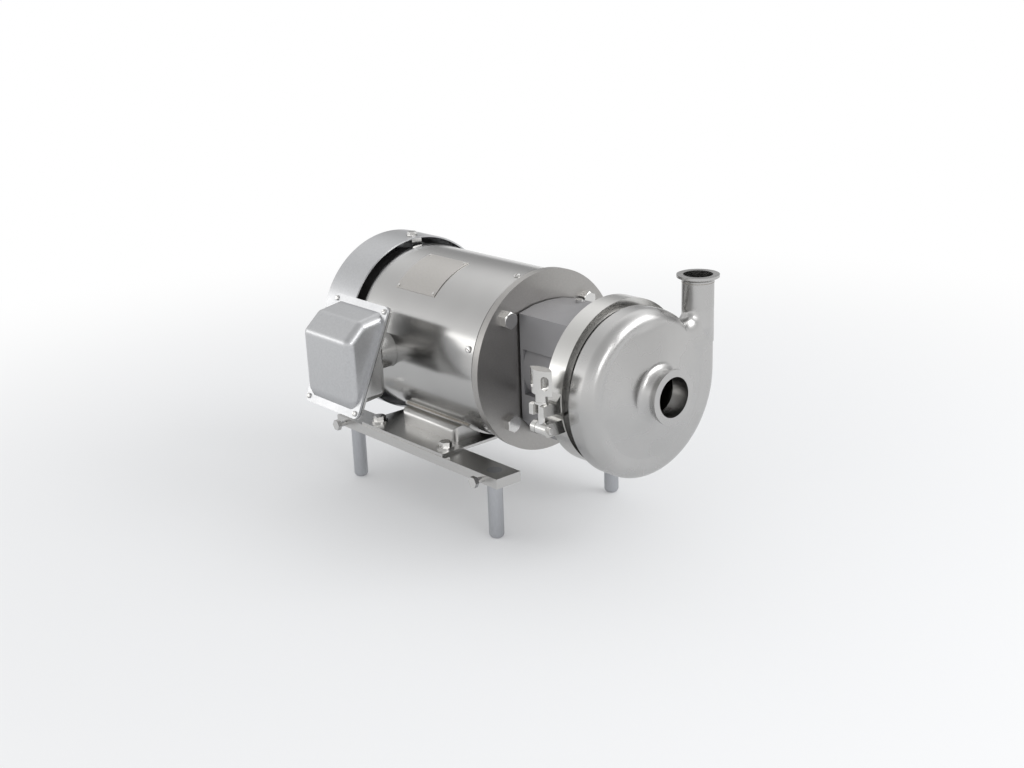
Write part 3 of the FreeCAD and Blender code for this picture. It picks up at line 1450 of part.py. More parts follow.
def pump_casing():
    face = "casing_back + casing_width"
    rim = "clamp_groove - rim_clearance"
    drum_body, drum = volute("casing_drum", "casing_back", "0", "casing_width")
    round_front(drum_body, drum, face, "throat_height", "casing_round")
    step = "casing_back + casing_wall / 2"
    neck, _ = turned_body("casing_neck", [
        (CASING_RIM_X, NECK_BORE), (CASING_RIM_X, rim), (f"{RIM_FRONT} - clamp_flank", rim),
        (RIM_FRONT, "neck_outer"), (step, "neck_outer"), (step, NECK_BORE)])
    flare_x = f"{face} + face_rise + flare_rise"
    dish, dished = turned_body("casing_dish", [
        (f"{face} - casing_wall", "suction_bore"), (f"{face} - casing_wall", "face_radius - face_sink"),
        (face, "face_radius"), (f"{face} + face_rise", "flare_radius"), (flare_x, "suction_tube"),
        ("suction_face - ferrule_lip - ferrule_taper", "suction_tube"),
        ("suction_face - ferrule_lip", "suction_ferrule"), ("suction_face", "suction_ferrule"),
        ("suction_face", "suction_bore")])
    flare = amount(flare_x)
    soften(dish, dished, "flare_round", lambda edge: abs(edge.BoundBox.XMin - flare) < CLOSE and
           edge.BoundBox.XLength < CLOSE)
    tube = outlet("casing_outlet", "discharge_tube", "0", "discharge_top", "discharge_ferrule")

    passage, pad = volute("casing_passage", "casing_back + casing_wall", "casing_wall",
                          "casing_width - 2 * casing_wall")
    round_front(passage, pad, f"{face} - casing_wall", "throat_height - casing_wall",
                "casing_round - casing_wall")
    start = f"{CASING_RIM_X} - past"
    opening, _ = turned_body("casing_opening", [
        (start, "0"), (start, NECK_BORE), ("casing_back + casing_wall + past", NECK_BORE),
        (f"{face} - casing_wall - past", "face_radius - face_inset"),
        (f"{face} + face_rise - casing_wall", "flare_radius - face_inset"),
        (f"{face} + face_rise", "suction_bore"),
        ("suction_face + past", "suction_bore"), ("suction_face + past", "0")])
    bore = outlet("casing_outlet_bore", "discharge_bore", "casing_wall", "discharge_top + past", None)
    low = "neck_outer - gasket_width / 2 - running"
    high = "neck_outer + gasket_width / 2 + running"
    deep = f"{CASING_RIM_X} + gasket_width + running"
    groove, _ = turned_body("casing_groove", [(start, low), (start, high), (deep, high), (deep, low)])
    solid = join("MultiFuse", [drum_body, neck, dish, tube])
    node(join("Cut", [solid, passage, opening, bore, groove]), "pump_casing")


# Stub shaft, collar, impeller and seal
IMPELLER_BACK = "(plug_front + impeller_gap)"
SEAL_FACE = "(plug_front - plug_wall - plug_chamfer)"


def stub_shaft():
    land = "collar_front + collar_length + sleeve_land"
    tip = f"{IMPELLER_BACK} + impeller_plate + vane_height + stud_length"
    turned("stub_shaft", [
        ("sleeve_back", "shaft_nose"), ("sleeve_back", "collar_bore"), (land, "collar_bore"),
        (f"{land} + sleeve_step", "sleeve_radius"), (IMPELLER_BACK, "sleeve_radius"),
        (IMPELLER_BACK, "stud_radius"),
        (tip, "stud_radius"), (tip, "0"), ("shaft_reach + past", "0"),
        ("shaft_reach + past", "shaft_nose")])


def shaft_collar():
    height = "(collar_bore + collar_radius) / 2"
    ring = [rod("x", ("collar_front", "0", "0"), "collar_radius", "collar_length"),
            rod("x", ("collar_front", "0", "0"), "collar_bore", "collar_length"),
            block(("collar_front", "-collar_slit / 2", "0"), "collar_length", "collar_slit",
                  "collar_radius + past")]
    screws = []
    for x in ("collar_front + collar_screw_inset", "collar_front + collar_length - collar_screw_inset"):
        ring.append(rod("y", (x, "-collar_radius", height), "collar_screw + running", "2 * collar_radius"))
        screws.append(rod("y", (x, "-collar_screw_half", height), "collar_screw", "2 * collar_screw_half"))
    node(join("Cut", ring), "shaft_collar")
    group("collar_screws", screws)


def impeller():
    body = new_body("impeller")
    sketch = sketch_on(body, "XZ_Plane")
    front = f"{IMPELLER_BACK} + impeller_plate"
    polygon(sketch,
            [(IMPELLER_BACK, "stud_radius"), (IMPELLER_BACK, "impeller_radius"), (front, "impeller_radius"),
             (f"{front} + impeller_dish", "hub_radius + hub_flare"),
             (f"{front} + hub_shoulder", "hub_radius"),
             (f"{front} + vane_height", "hub_radius - hub_chamfer"),
             (f"{front} + vane_height", "stud_radius")])
    turn_round(body, sketch)
    vane_sketch = sketch_on(body, "YZ_Plane", ("0", "0", f"{IMPELLER_BACK} + impeller_plate / 2"))
    vane_outline(vane_sketch)
    vane = raise_from(body, vane_sketch, "impeller_plate / 2 + vane_height - past")
    repeat_round(body, vane, "vane_count")
    node(body, "impeller")


def vane_outline(sketch):
    """One backward swept vane between two arcs that share a centre and end near the rim."""
    rim = "(impeller_radius - vane_tip)"
    sweep = f"({rim} * vane_sweep)"
    centre_u = f"({rim} * vane_out)"
    centre_v = f"(-{rim} * vane_down)"
    spot = Vector(amount(centre_u), amount(centre_v), 0)
    turns = ("vane_start", "vane_end")
    ends = [math.radians(amount(turn)) for turn in turns]
    radii = (sweep, f"({sweep} - vane_thickness)")
    arcs = [Part.ArcOfCircle(Part.Circle(spot, Vector(0, 0, 1), amount(size)), *ends) for size in radii]
    for arc, size in zip(arcs, radii):
        index = sketch.addGeometry(arc)
        hold(sketch, "DistanceX", index, 3, centre_u)
        hold(sketch, "DistanceY", index, 3, centre_v)
        size_index = sketch.addConstraint(Sketcher.Constraint("Radius", index, amount(size)))
        bind(sketch, f"Constraints[{size_index}]", size)
    for point, (first, second) in ((1, [arc.StartPoint for arc in arcs]),
                                   (2, [arc.EndPoint for arc in arcs])):
        line = sketch.addGeometry(Part.LineSegment(first, second))
        sketch.addConstraint(Sketcher.Constraint("Coincident", 0, point, line, 1))
        sketch.addConstraint(Sketcher.Constraint("Coincident", 1, point, line, 2))
        for end, size in enumerate(radii, start=1):
            hold(sketch, "DistanceX", line, end, f"{centre_u} + {size} * cos({turns[point - 1]} * 1 deg)")


def impeller_nut():
    x = f"{IMPELLER_BACK} + impeller_plate + vane_height + running"
    nut = hexagon(TURNS["x"], (x, "0", "0"), "nut_flats", "impeller_nut_length")
    bore = rod("x", (x, "0", "0"), "stud_radius + running", "stud_length + stud_room")
    node(join("Cut", [nut, bore]), "impeller_nut")


def sleeve_ring(name, front, back, outer, inner):
    """A plain ring about the shaft between two places."""
    turned(name, [(front, inner), (front, outer), (back, outer), (back, inner)])


def seal():
    seat_x = f"{SEAL_FACE} - seal_seat_depth"
    sleeve_ring("seal_seat", seat_x, SEAL_FACE, "seal_outer", "seal_bore")
    front = f"{seat_x} - running"
    ring_x = f"{front} - seal_ring_length"
    turned("seal_ring", [(ring_x, "sleeve_radius + running"), (ring_x, "seal_outer - seal_step"),
                         (front, "seal_outer - 2 * seal_step"), (front, "sleeve_radius + running")])
    collar_x = f"{ring_x} - seal_spring_length"
    sleeve_ring("seal_collar", f"{collar_x} - seal_collar_length", collar_x, "seal_outer", "sleeve_radius")
    coils = []
    pitch = "seal_spring_length / seal_coils"
    for i in range(int(amount("seal_coils"))):
        coils.append(primitive("Part::Torus", (f"{collar_x} + {pitch} * {i} + {pitch} / 2", "0", "0"),
                               TURNS["x"],
                               {"Radius1": "(sleeve_radius + seal_outer) / 2", "Radius2": f"{pitch} / 2"}))
    group("seal_spring", coils)


def shaft_slinger():
    back = "-disc_thickness + pilot_depth"
    front = "sleeve_back - slinger_room"
    turned("shaft_slinger",
           [(f"{back} + seat", "shaft_nose"), (f"{back} + seat", "shaft_nose + slinger_reach"),
            (f"{back} + slinger_rim", "shaft_nose + slinger_reach"),
            (front, "shaft_nose + slinger_hub"), (front, "shaft_nose")])


# Build
motor_shell()
front_end_bell()
rear_end_bell()
motor_core()
motor_shaft()
bearings()
cooling_fan()
fan_cover()
fan_cover_fixings()
name_plate()
shell_screws()
conduit_cover()
conduit_base()
conduit_trim()
conduit_neck()
terminal_block()
motor_foot()
foot_fixings()
base_bar("base_bar_left", -1)
base_bar("base_bar_right", 1)
for end, place in (("front", "leg_front_x"), ("rear", "leg_front_x - leg_pitch")):
    for side_name, side_sign in (("left", -1), ("right", 1)):
        leg(f"leg_{end}_{side_name}", place, side_sign)
lock_screws()
adapter_flange()
adapter_bolts()
adapter()
shaft_guards()
adapter_screw()
clamp()
swing_bolt()
wing_nut()
back_plate()
casing_gasket()
pump_casing()
stub_shaft()
shaft_collar()
impeller()
impeller_nut()
seal()
shaft_slinger()
doc.recompute()

# Check every object, then write one file for each node
faults = [item.Name for item in doc.Objects if "Invalid" in item.State or "Error" in item.State]
for item in NODES:
    if item.Shape.isNull() or not item.Shape.isValid() or not item.Shape.Solids:
        faults.append(item.Label)
if faults:
    raise RuntimeError("These objects failed: " + ", ".join(faults))
for item in NODES:
    item.Shape.exportStep(os.path.join("parts", item.Label + ".step"))
print(len(NODES), "nodes written")
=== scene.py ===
import json
import math
import random

import bmesh
import bpy
from mathutils import Matrix, Vector


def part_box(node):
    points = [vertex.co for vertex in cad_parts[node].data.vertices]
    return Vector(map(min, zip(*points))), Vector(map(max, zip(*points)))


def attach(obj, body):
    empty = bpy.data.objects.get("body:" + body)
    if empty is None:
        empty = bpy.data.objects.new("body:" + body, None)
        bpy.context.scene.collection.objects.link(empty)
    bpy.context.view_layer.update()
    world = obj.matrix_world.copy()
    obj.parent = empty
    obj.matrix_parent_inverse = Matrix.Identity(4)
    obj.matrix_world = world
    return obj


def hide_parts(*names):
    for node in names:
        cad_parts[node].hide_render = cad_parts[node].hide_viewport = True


# Sanitary centrifugal pump: finishes, small pieces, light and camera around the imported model. Metres.
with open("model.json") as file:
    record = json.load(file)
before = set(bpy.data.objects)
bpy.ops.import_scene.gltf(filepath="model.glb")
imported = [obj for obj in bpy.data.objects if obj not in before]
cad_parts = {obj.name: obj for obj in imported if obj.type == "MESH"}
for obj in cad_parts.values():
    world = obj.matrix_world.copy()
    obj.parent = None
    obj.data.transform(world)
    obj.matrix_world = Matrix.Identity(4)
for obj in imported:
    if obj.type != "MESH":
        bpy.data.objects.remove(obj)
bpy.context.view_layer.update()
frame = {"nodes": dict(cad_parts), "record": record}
NODES = frame["nodes"]

# The shaft's line in the row frame, from the pieces that are turned about it
shell_low, shell_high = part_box("motor_shell")
SHAFT_Y = (shell_low.y + shell_high.y) / 2
SHAFT_Z = (shell_low.z + shell_high.z) / 2
DISC_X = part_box("adapter_flange")[1].x

# The discharge tube: its upright axis, from the ferrule that ends it, and the heights over the shaft between
# which it leaves the drum
CASING_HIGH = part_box("pump_casing")[1]
FERRULE_RADIUS = 0.02525
TUBE_RADIUS = 0.019
TUBE_FORWARD = 0.1585
TUBE_AXIS = Vector((DISC_X + TUBE_FORWARD, CASING_HIGH.y - FERRULE_RADIUS, 0))
TUBE_FOOT = 0.058
TUBE_CLEAR = 0.082


# Node helpers
def shade(colour, factor):
    """A colour made darker or lighter by a factor."""
    return tuple(min(1.0, channel * factor) for channel in colour)


def fill_ramp(ramp, stops):
    """Give a colour ramp its stops, each a position and a colour."""
    while len(ramp.elements) < len(stops):
        ramp.elements.new(0.5)
    for element, (position, colour) in zip(ramp.elements, stops):
        element.position = position
        element.color = (*colour, 1)


class Shader:
    """A procedural material under construction."""

    def __init__(self, name):
        self.material = bpy.data.materials.new(name)
        self.material.use_nodes = True
        self.tree = self.material.node_tree
        self.surface = self.tree.nodes["Principled BSDF"]

    def node(self, kind, **settings):
        made = self.tree.nodes.new(kind)
        for key, value in settings.items():
            setattr(made, key, value)
        return made

    def link(self, source, target):
        self.tree.links.new(source, target)

    def place(self, stretch=(1, 1, 1)):
        """Object coordinates, stretched by a factor along each axis."""
        coordinates = self.node("ShaderNodeTexCoord")
        mapping = self.node("ShaderNodeMapping")
        mapping.inputs["Scale"].default_value = stretch
        self.link(coordinates.outputs["Object"], mapping.inputs["Vector"])
        return mapping.outputs["Vector"]

    def maths(self, operation, first, second):
        made = self.node("ShaderNodeMath", operation=operation)
        self.link(first, made.inputs[0])
        self.link(second, made.inputs[1])
        return made.outputs[0]

    def circles(self, spot, axis, centre):
        """Offset of a place from a centre, and the way round an axis through that centre."""
        offset = self.node("ShaderNodeVectorMath", operation="SUBTRACT")
        offset.inputs[1].default_value = centre
        self.link(spot, offset.inputs[0])
        around = self.node("ShaderNodeVectorMath", operation="CROSS_PRODUCT")
        around.inputs[0].default_value = axis
        self.link(offset.outputs["Vector"], around.inputs[1])
        return offset.outputs["Vector"], around.outputs["Vector"]

    def noise(self, vector, scale, detail=3.0, roughness=0.5):
        made = self.node("ShaderNodeTexNoise")
        made.inputs["Scale"].default_value = scale
        made.inputs["Detail"].default_value = detail
        made.inputs["Roughness"].default_value = roughness
        self.link(vector, made.inputs["Vector"])
        return made.outputs["Fac"]

    def tint(self, factor, colour, dark, light, start=0.3, end=0.7):
        """Base colour, from a darker to a lighter shade as a factor rises from start to end."""
        made = self.node("ShaderNodeValToRGB")
        fill_ramp(made.color_ramp, [(start, shade(colour, dark)), (end, shade(colour, light))])
        self.link(factor, made.inputs["Fac"])
        self.link(made.outputs["Color"], self.surface.inputs["Base Color"])

    def gloss(self, factor, rough, low, high, start=0.3, end=0.7):
        """Roughness, from a lower to a higher share of one value as a factor rises from start to end."""
        made = self.node("ShaderNodeMapRange")
        made.inputs["From Min"].default_value = start
        made.inputs["From Max"].default_value = end
        made.inputs["To Min"].default_value = rough * low
        made.inputs["To Max"].default_value = rough * high
        self.link(factor, made.inputs["Value"])
        self.link(made.outputs["Result"], self.surface.inputs["Roughness"])

    def bump(self, height, distance):
        made = self.node("ShaderNodeBump")
        made.inputs["Strength"].default_value = 1.0
        made.inputs["Distance"].default_value = distance
        self.link(height, made.inputs["Height"])
        self.link(made.outputs["Normal"], self.surface.inputs["Normal"])

    def set(self, **sockets):
        for key, value in sockets.items():
            self.surface.inputs[key.replace("_", " ")].default_value = value


def polished(name, colour, rough, streak, grain=0.000002):
    """Polished stainless: faint polishing lines, soft mottle and slightly uneven gloss."""
    made = Shader(name)
    lines = made.noise(made.place(streak), scale=40, detail=4, roughness=0.6)
    cloud = made.noise(made.place(), scale=9, detail=2)
    made.tint(cloud, colour, dark=0.95, light=1.05)
    made.gloss(lines, rough, low=0.88, high=1.14)
    made.bump(lines, grain)
    made.set(Metallic=1.0)
    return made.material


def turned(name, colour, rough, turning=0.6, grain=0.0000015):
    """Steel polished in circles round the shaft's line, and round the tube above the drum."""
    made = Shader(name)
    spot = made.place()
    offset, round_shaft = made.circles(spot, (1, 0, 0), (0, SHAFT_Y, SHAFT_Z))
    round_tube = made.circles(spot, (0, 0, 1), TUBE_AXIS)[1]
    height = made.node("ShaderNodeSeparateXYZ")
    made.link(spot, height.inputs[0])
    on_tube = made.node("ShaderNodeMapRange", interpolation_type="SMOOTHSTEP")
    on_tube.inputs["From Min"].default_value = SHAFT_Z + TUBE_FOOT
    on_tube.inputs["From Max"].default_value = SHAFT_Z + TUBE_CLEAR
    made.link(height.outputs["Z"], on_tube.inputs["Value"])
    which = made.node("ShaderNodeMix", data_type="VECTOR")
    made.link(on_tube.outputs["Result"], which.inputs["Factor"])
    made.link(round_shaft, which.inputs["A"])
    made.link(round_tube, which.inputs["B"])
    unit = made.node("ShaderNodeVectorMath", operation="NORMALIZE")
    made.link(which.outputs["Result"], unit.inputs[0])
    made.link(unit.outputs["Vector"], made.surface.inputs["Tangent"])
    across = made.node("ShaderNodeVectorMath", operation="MULTIPLY")
    across.inputs[1].default_value = (0, 1, 1)
    made.link(offset, across.inputs[0])
    radius = made.node("ShaderNodeVectorMath", operation="LENGTH")
    made.link(across.outputs["Vector"], radius.inputs[0])
    split = made.node("ShaderNodeSeparateXYZ")
    made.link(offset, split.inputs[0])
    rings = made.node("ShaderNodeCombineXYZ")
    made.link(radius.outputs["Value"], rings.inputs["X"])
    made.link(split.outputs["X"], rings.inputs["Y"])
    lines = made.noise(rings.outputs["Vector"], scale=2600, roughness=0.6)
    cloud = made.noise(spot, scale=13, roughness=0.55)
    made.tint(cloud, colour, dark=0.94, light=1.05)
    made.gloss(cloud, rough, low=0.85, high=1.18)
    made.bump(lines, grain)
    made.set(Metallic=1.0, Anisotropic=turning)
    return made.material


def satin(name, colour, rough, streak, grain=0.000004):
    """Ground or brushed stainless with visible fine scratches along one way."""
    made = Shader(name)
    scratches = made.noise(made.place(streak), scale=55, detail=6, roughness=0.7)
    cloud = made.noise(made.place(), scale=14, roughness=0.6)
    made.tint(scratches, colour, dark=0.9, light=1.08, start=0.25, end=0.75)
    made.gloss(cloud, rough, low=0.88, high=1.14)
    made.bump(scratches, grain)
    made.set(Metallic=1.0)
    return made.material


def cast(name, colour, rough, grit, metallic, grain=0.000012):
    """Blasted or investment-cast metal: fine grit, soft uneven tone."""
    made = Shader(name)
    grains = made.noise(made.place(), scale=grit, detail=4, roughness=0.6)
    cloud = made.noise(made.place(), scale=18)
    made.tint(cloud, colour, dark=0.93, light=1.06)
    made.gloss(grains, rough, low=0.9, high=1.1)
    made.bump(grains, grain)
    made.set(Metallic=metallic)
    return made.material


def dull(name, colour, rough, grit=600, metallic=0.0, grain=0.00002):
    """Paint, rubber or plastic with a light texture."""
    made = Shader(name)
    grains = made.noise(made.place(), scale=grit, detail=4, roughness=0.6)
    cloud = made.noise(made.place(), scale=22)
    made.tint(cloud, colour, dark=0.82, light=1.15)
    made.gloss(grains, rough, low=0.85, high=1.15)
    made.bump(grains, grain)
    made.set(Metallic=metallic)
    return made.material


FINISHES = {
    "shell_steel": polished("shell_steel", (0.47, 0.467, 0.46), 0.19, streak=(50, 3, 3)),
    "cover_steel": satin("cover_steel", (0.52, 0.525, 0.535), 0.33, streak=(6, 6, 6)),
    "disc_steel": satin("disc_steel", (0.40, 0.39, 0.378), 0.38, streak=(8, 8, 8)),
    "casing_steel": turned("casing_steel", (0.48, 0.477, 0.472), 0.27),
    "clamp_steel": polished("clamp_steel", (0.60, 0.595, 0.58), 0.24, streak=(12, 12, 12), grain=0.000004),
    "cast_adapter": cast("cast_adapter", (0.31, 0.307, 0.316), 0.52, grit=1100, metallic=0.6),
    "bar_steel": satin("bar_steel", (0.55, 0.545, 0.535), 0.30, streak=(2, 30, 30)),
    "leg_steel": satin("leg_steel", (0.46, 0.47, 0.49), 0.32, streak=(20, 20, 2)),
    "bolt_steel": polished("bolt_steel", (0.64, 0.635, 0.625), 0.17, streak=(30, 30, 30)),
    "plate_metal": satin("plate_metal", (0.50, 0.485, 0.465), 0.30, streak=(4, 30, 30)),
    "shaft_steel": satin("shaft_steel", (0.55, 0.55, 0.56), 0.25, streak=(60, 3, 3)),
    "laminations": dull("laminations", (0.10, 0.10, 0.105), 0.6, grit=300, metallic=0.6),
    "windings": dull("windings", (0.40, 0.16, 0.05), 0.45),
    "dark_iron": dull("dark_iron", (0.025, 0.024, 0.024), 0.55),
    "fan_plastic": dull("fan_plastic", (0.03, 0.03, 0.032), 0.5),
    "weld_metal": satin("weld_metal", (0.36, 0.33, 0.29), 0.34, streak=(60, 60, 60), grain=0.00001),
    "seal_black": dull("seal_black", (0.02, 0.02, 0.02), 0.55),
    "seal_face": dull("seal_face", (0.06, 0.06, 0.065), 0.35),
    "seal_ceramic": dull("seal_ceramic", (0.75, 0.73, 0.68), 0.2),
    "terminal_plastic": dull("terminal_plastic", (0.08, 0.07, 0.06), 0.5),
}


def dress_nodes():
    """Give every node the finish of its slot in the record."""
    for entry in frame["record"]["subparts"]:
        item = NODES[entry["node"]]
        item.data.materials.clear()
        item.data.materials.append(FINISHES[entry["material_slot"]])


# Small pieces. A screw is given by the radius and height of its head and the radius of its shank.
# Its turn is an angle about its own axis.
SHELL_SCREW = (0.0042, 0.0022, 0.002)
BOX_SCREW = (0.0034, 0.0024, 0.0021)
SHELL_SCREW_TURNS = (0.4, 1.2, 2.1, 0.1, 0.9, 1.7)
BOX_SCREW_TURNS = (0.5, 1.4, 0.2, 2.2)
SHORTEST_SHANK = 0.0002


def add_piece(name, mesh_data, finish, body="frame"):
    mesh = bpy.data.meshes.new(name)
    mesh_data.to_mesh(mesh)
    mesh_data.free()
    mesh.materials.append(finish)
    piece = bpy.data.objects.new(name, mesh)
    bpy.context.scene.collection.objects.link(piece)
    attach(piece, body)
    return piece


def loose_groups(node):
    """Corner points of each separate solid in a node."""
    mesh = bmesh.new()
    mesh.from_mesh(NODES[node].data)
    bmesh.ops.remove_doubles(mesh, verts=mesh.verts, dist=1e-6)
    left = set(mesh.verts)
    groups = []
    while left:
        stack = [min(left, key=lambda vertex: vertex.index)]
        left.discard(stack[0])
        group = []
        while stack:
            vertex = stack.pop()
            group.append(vertex.co.copy())
            for edge in vertex.link_edges:
                other = edge.other_vert(vertex)
                if other in left:
                    left.discard(other)
                    stack.append(other)
        groups.append(group)
    mesh.free()
    return groups


def spread(points, direction):
    """Lowest and highest place of the points along a direction."""
    places = [point.dot(direction) for point in points]
    return min(places), max(places)


def turned_mesh(profile, steps=40):
    """Closed solid turned about z from (radius, height) pairs that start and end on the axis."""
    mesh = bmesh.new()
    rings = []
    for radius, height in profile:
        if radius == 0:
            rings.append([mesh.verts.new((0, 0, height))])
            continue
        ring = []
        for step in range(steps):
            angle = 2 * math.pi * step / steps
            ring.append(mesh.verts.new((radius * math.cos(angle), radius * math.sin(angle), height)))
        rings.append(ring)
    for lower, upper in zip(rings, rings[1:]):
        for step in range(steps):
            after = (step + 1) % steps
            if len(lower) == 1:
                mesh.faces.new((lower[0], upper[after], upper[step]))
            elif len(upper) == 1:
                mesh.faces.new((lower[step], lower[after], upper[0]))
            else:
                mesh.faces.new((lower[step], lower[after], upper[after], upper[step]))
    return mesh


def pan_head(radius, height, shank_radius, shank):
    """Pan-head screw standing on z = 0 with its shank below."""
    foot = (radius * 0.96, 0)
    side = (radius, height * 0.1)
    rim = height * 0.45
    crown = 0.55
    flat = 0.45
    rounding = 6
    profile = [(0, -shank), (shank_radius, -shank), (shank_radius, 0), foot, side]
    for step in range(rounding + 1):
        angle = math.pi / 2 * step / rounding
        across = radius * math.cos(angle) * crown + radius * flat
        profile.append((across, height - rim + rim * math.sin(angle)))
    profile.append((0, height))
    return turned_mesh(profile)


def cut_flat(mesh, place, outward):
    """Cut away what lies outward of a plane and close the cut."""
    kept = bmesh.ops.bisect_plane(mesh, geom=mesh.verts[:] + mesh.edges[:] + mesh.faces[:],
                                  plane_co=place, plane_no=outward, clear_outer=True)
    rim = [item for item in kept["geom_cut"] if isinstance(item, bmesh.types.BMEdge)]
    bmesh.ops.contextual_create(mesh, geom=rim)


def slotted(radius, height, shank_radius, shank):
    """Pan-head screw with an open slot, joined from its two sides and what lies under the slot."""
    head = pan_head(radius, height, shank_radius, shank)
    gap = radius * 0.17
    floor = height * 0.42
    whole = bmesh.new()
    for side in (-1, 1):
        half = head.copy()
        cut_flat(half, (0, side * gap, 0), (0, -side, 0))
        append_mesh(whole, half)
    low = head.copy()
    for side in (-1, 1):
        cut_flat(low, (0, side * gap, 0), (0, side, 0))
    cut_flat(low, (0, 0, floor), (0, 0, 1))
    append_mesh(whole, low)
    head.free()
    return whole


def append_mesh(target, source):
    """Move a mesh's faces into another one."""
    copies = {vertex: target.verts.new(vertex.co) for vertex in source.verts}
    for face in source.faces:
        made = target.faces.new([copies[vertex] for vertex in face.verts])
        made.smooth = face.smooth
    source.free()


def stand_up(mesh, base, axis, turn):
    """Turn a mesh that stands on z = 0 onto an axis at a place."""
    lie = axis.to_track_quat("Z", "X").to_matrix().to_4x4()
    placed = Matrix.Translation(base) @ lie @ Matrix.Rotation(turn, 4, "Z")
    bmesh.ops.transform(mesh, matrix=placed, verts=mesh.verts)


def screw_heads(node, axis_of, head, turns):
    """Slotted screws in place of a node of plain ones, each standing where the node's solid stands."""
    whole = bmesh.new()
    radius, height, shank_radius = head
    for index, group in enumerate(loose_groups(node)):
        middle = sum(group, Vector()) / len(group)
        axis = axis_of(middle)
        low, high = spread(group, axis)
        across = axis.orthogonal().normalized()
        other = axis.cross(across)
        centre = across * (sum(spread(group, across)) / 2) + other * (sum(spread(group, other)) / 2)
        shank = max(high - low - height, SHORTEST_SHANK)
        single = slotted(radius, height, shank_radius, shank)
        stand_up(single, centre + axis * (high - height), axis, turns[index % len(turns)])
        append_mesh(whole, single)
    piece = add_piece(node + "_slotted", whole, FINISHES["bolt_steel"])
    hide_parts(node)


def from_shaft(middle):
    """The way straight out from the shaft's line at a place."""
    return Vector((0, middle.y - SHAFT_Y, middle.z - SHAFT_Z)).normalized()


def box_axis():
    """The way out of the conduit box's lid, square to the plane through its four screws."""
    middles = [sum(group, Vector()) / len(group) for group in loose_groups("conduit_box_screws")]
    normal = (middles[1] - middles[0]).cross(middles[2] - middles[0]).normalized()
    return normal if normal.y < 0 else -normal


def skin_sides(mesh, rings):
    """Faces between each ring of corners and the next."""
    size = len(rings[0])
    for lower, upper in zip(rings, rings[1:]):
        for place in range(size):
            after = (place + 1) % size
            mesh.faces.new((lower[place], lower[after], upper[after], upper[place]))


def finish_skin(mesh):
    """Turn all faces outward and shade them smooth."""
    for face in mesh.faces:
        face.smooth = True
    bmesh.ops.recalc_face_normals(mesh, faces=mesh.faces)


def weld_bead(name, route, radius, ripple, pitch, seed):
    """Rippled bead of weld along a route of points, a tube whose thickness wanders a little."""
    random.seed(seed)
    mesh = bmesh.new()
    around = 12
    wander = 0.12
    end_size = 0.35
    rings = []
    travelled = 0.0
    for index, point in enumerate(route):
        if index:
            travelled += (point - route[index - 1]).length
        ahead = route[min(index + 1, len(route) - 1)] - route[max(index - 1, 0)]
        forward = ahead.normalized()
        across = forward.orthogonal().normalized()
        other = forward.cross(across)
        wave = abs(math.sin(math.pi * travelled / pitch))
        size = radius + ripple * wave + random.uniform(-wander, wander) * ripple
        if index in (0, len(route) - 1):
            size = radius * end_size
        ring = []
        for step in range(around):
            angle = 2 * math.pi * step / around
            ring.append(mesh.verts.new(point + (across * math.cos(angle) + other * math.sin(angle)) * size))
        rings.append(ring)
    skin_sides(mesh, rings)
    mesh.faces.new(list(reversed(rings[0])))
    mesh.faces.new(rings[-1])
    finish_skin(mesh)
    add_piece(name, mesh, FINISHES["weld_metal"])


# Foot welds: where the saddle starts and how long it is, how far the bead stands off and sinks, its steps
SADDLE_BACK = 0.206
SADDLE_RUN = 0.128
BEAD_OUT = 0.0006
BEAD_SINK = 0.0002
BEAD_STEPS = 240


def foot_welds():
    """Beads where the foot's saddle meets the shell, on both sides."""
    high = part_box("motor_foot")[1]
    shell_radius = (shell_high.y - shell_low.y) / 2
    height = high.z - SHAFT_Z
    apart = math.sqrt(shell_radius ** 2 - height ** 2)
    for side, name in ((-1, "foot_weld_near"), (1, "foot_weld_far")):
        route = []
        for step in range(BEAD_STEPS + 1):
            x = DISC_X - SADDLE_BACK + SADDLE_RUN * step / BEAD_STEPS
            route.append(Vector((x, SHAFT_Y + side * (apart + BEAD_OUT), high.z - BEAD_SINK)))
        weld_bead(name, route, radius=0.0011, ripple=0.0004, pitch=0.0026, seed=11)


# Throat fillet: its run from the flange and the rounding of its front edge
FILLET_START = 0.1425
FILLET_END = 0.1753
FILLET_STEPS = 72
FRONT_ROUND = 0.0035

# Where the casing is felt for it: beside the shaft, from over the casing and from over the shaft
FEEL_BESIDE = 0.04
FEEL_OVER_CASING = 0.02
FEEL_OVER_SHAFT = 0.1

# Its radius at the tube's axis, what that gains over a run in front of it, and how deep its edges sit
# in the casing
FILLET_RADIUS = 0.009
FILLET_GAIN = 0.006
FILLET_GAIN_RUN = 0.0175
FILLET_SINK = 0.0007

# The ledge that it stands on, how deep it sits in that, and the least that it rises over it
LEDGE = 0.0395
LEDGE_SINK = 0.0005
LEDGE_ROOM = 0.0008

# Steps of its hollow and of its edge inside the drum, and the angle from which a corner stays sharp
HOLLOW_STEPS = 14
DRUM_STEPS = 4
SHARP_EDGE = 0.5


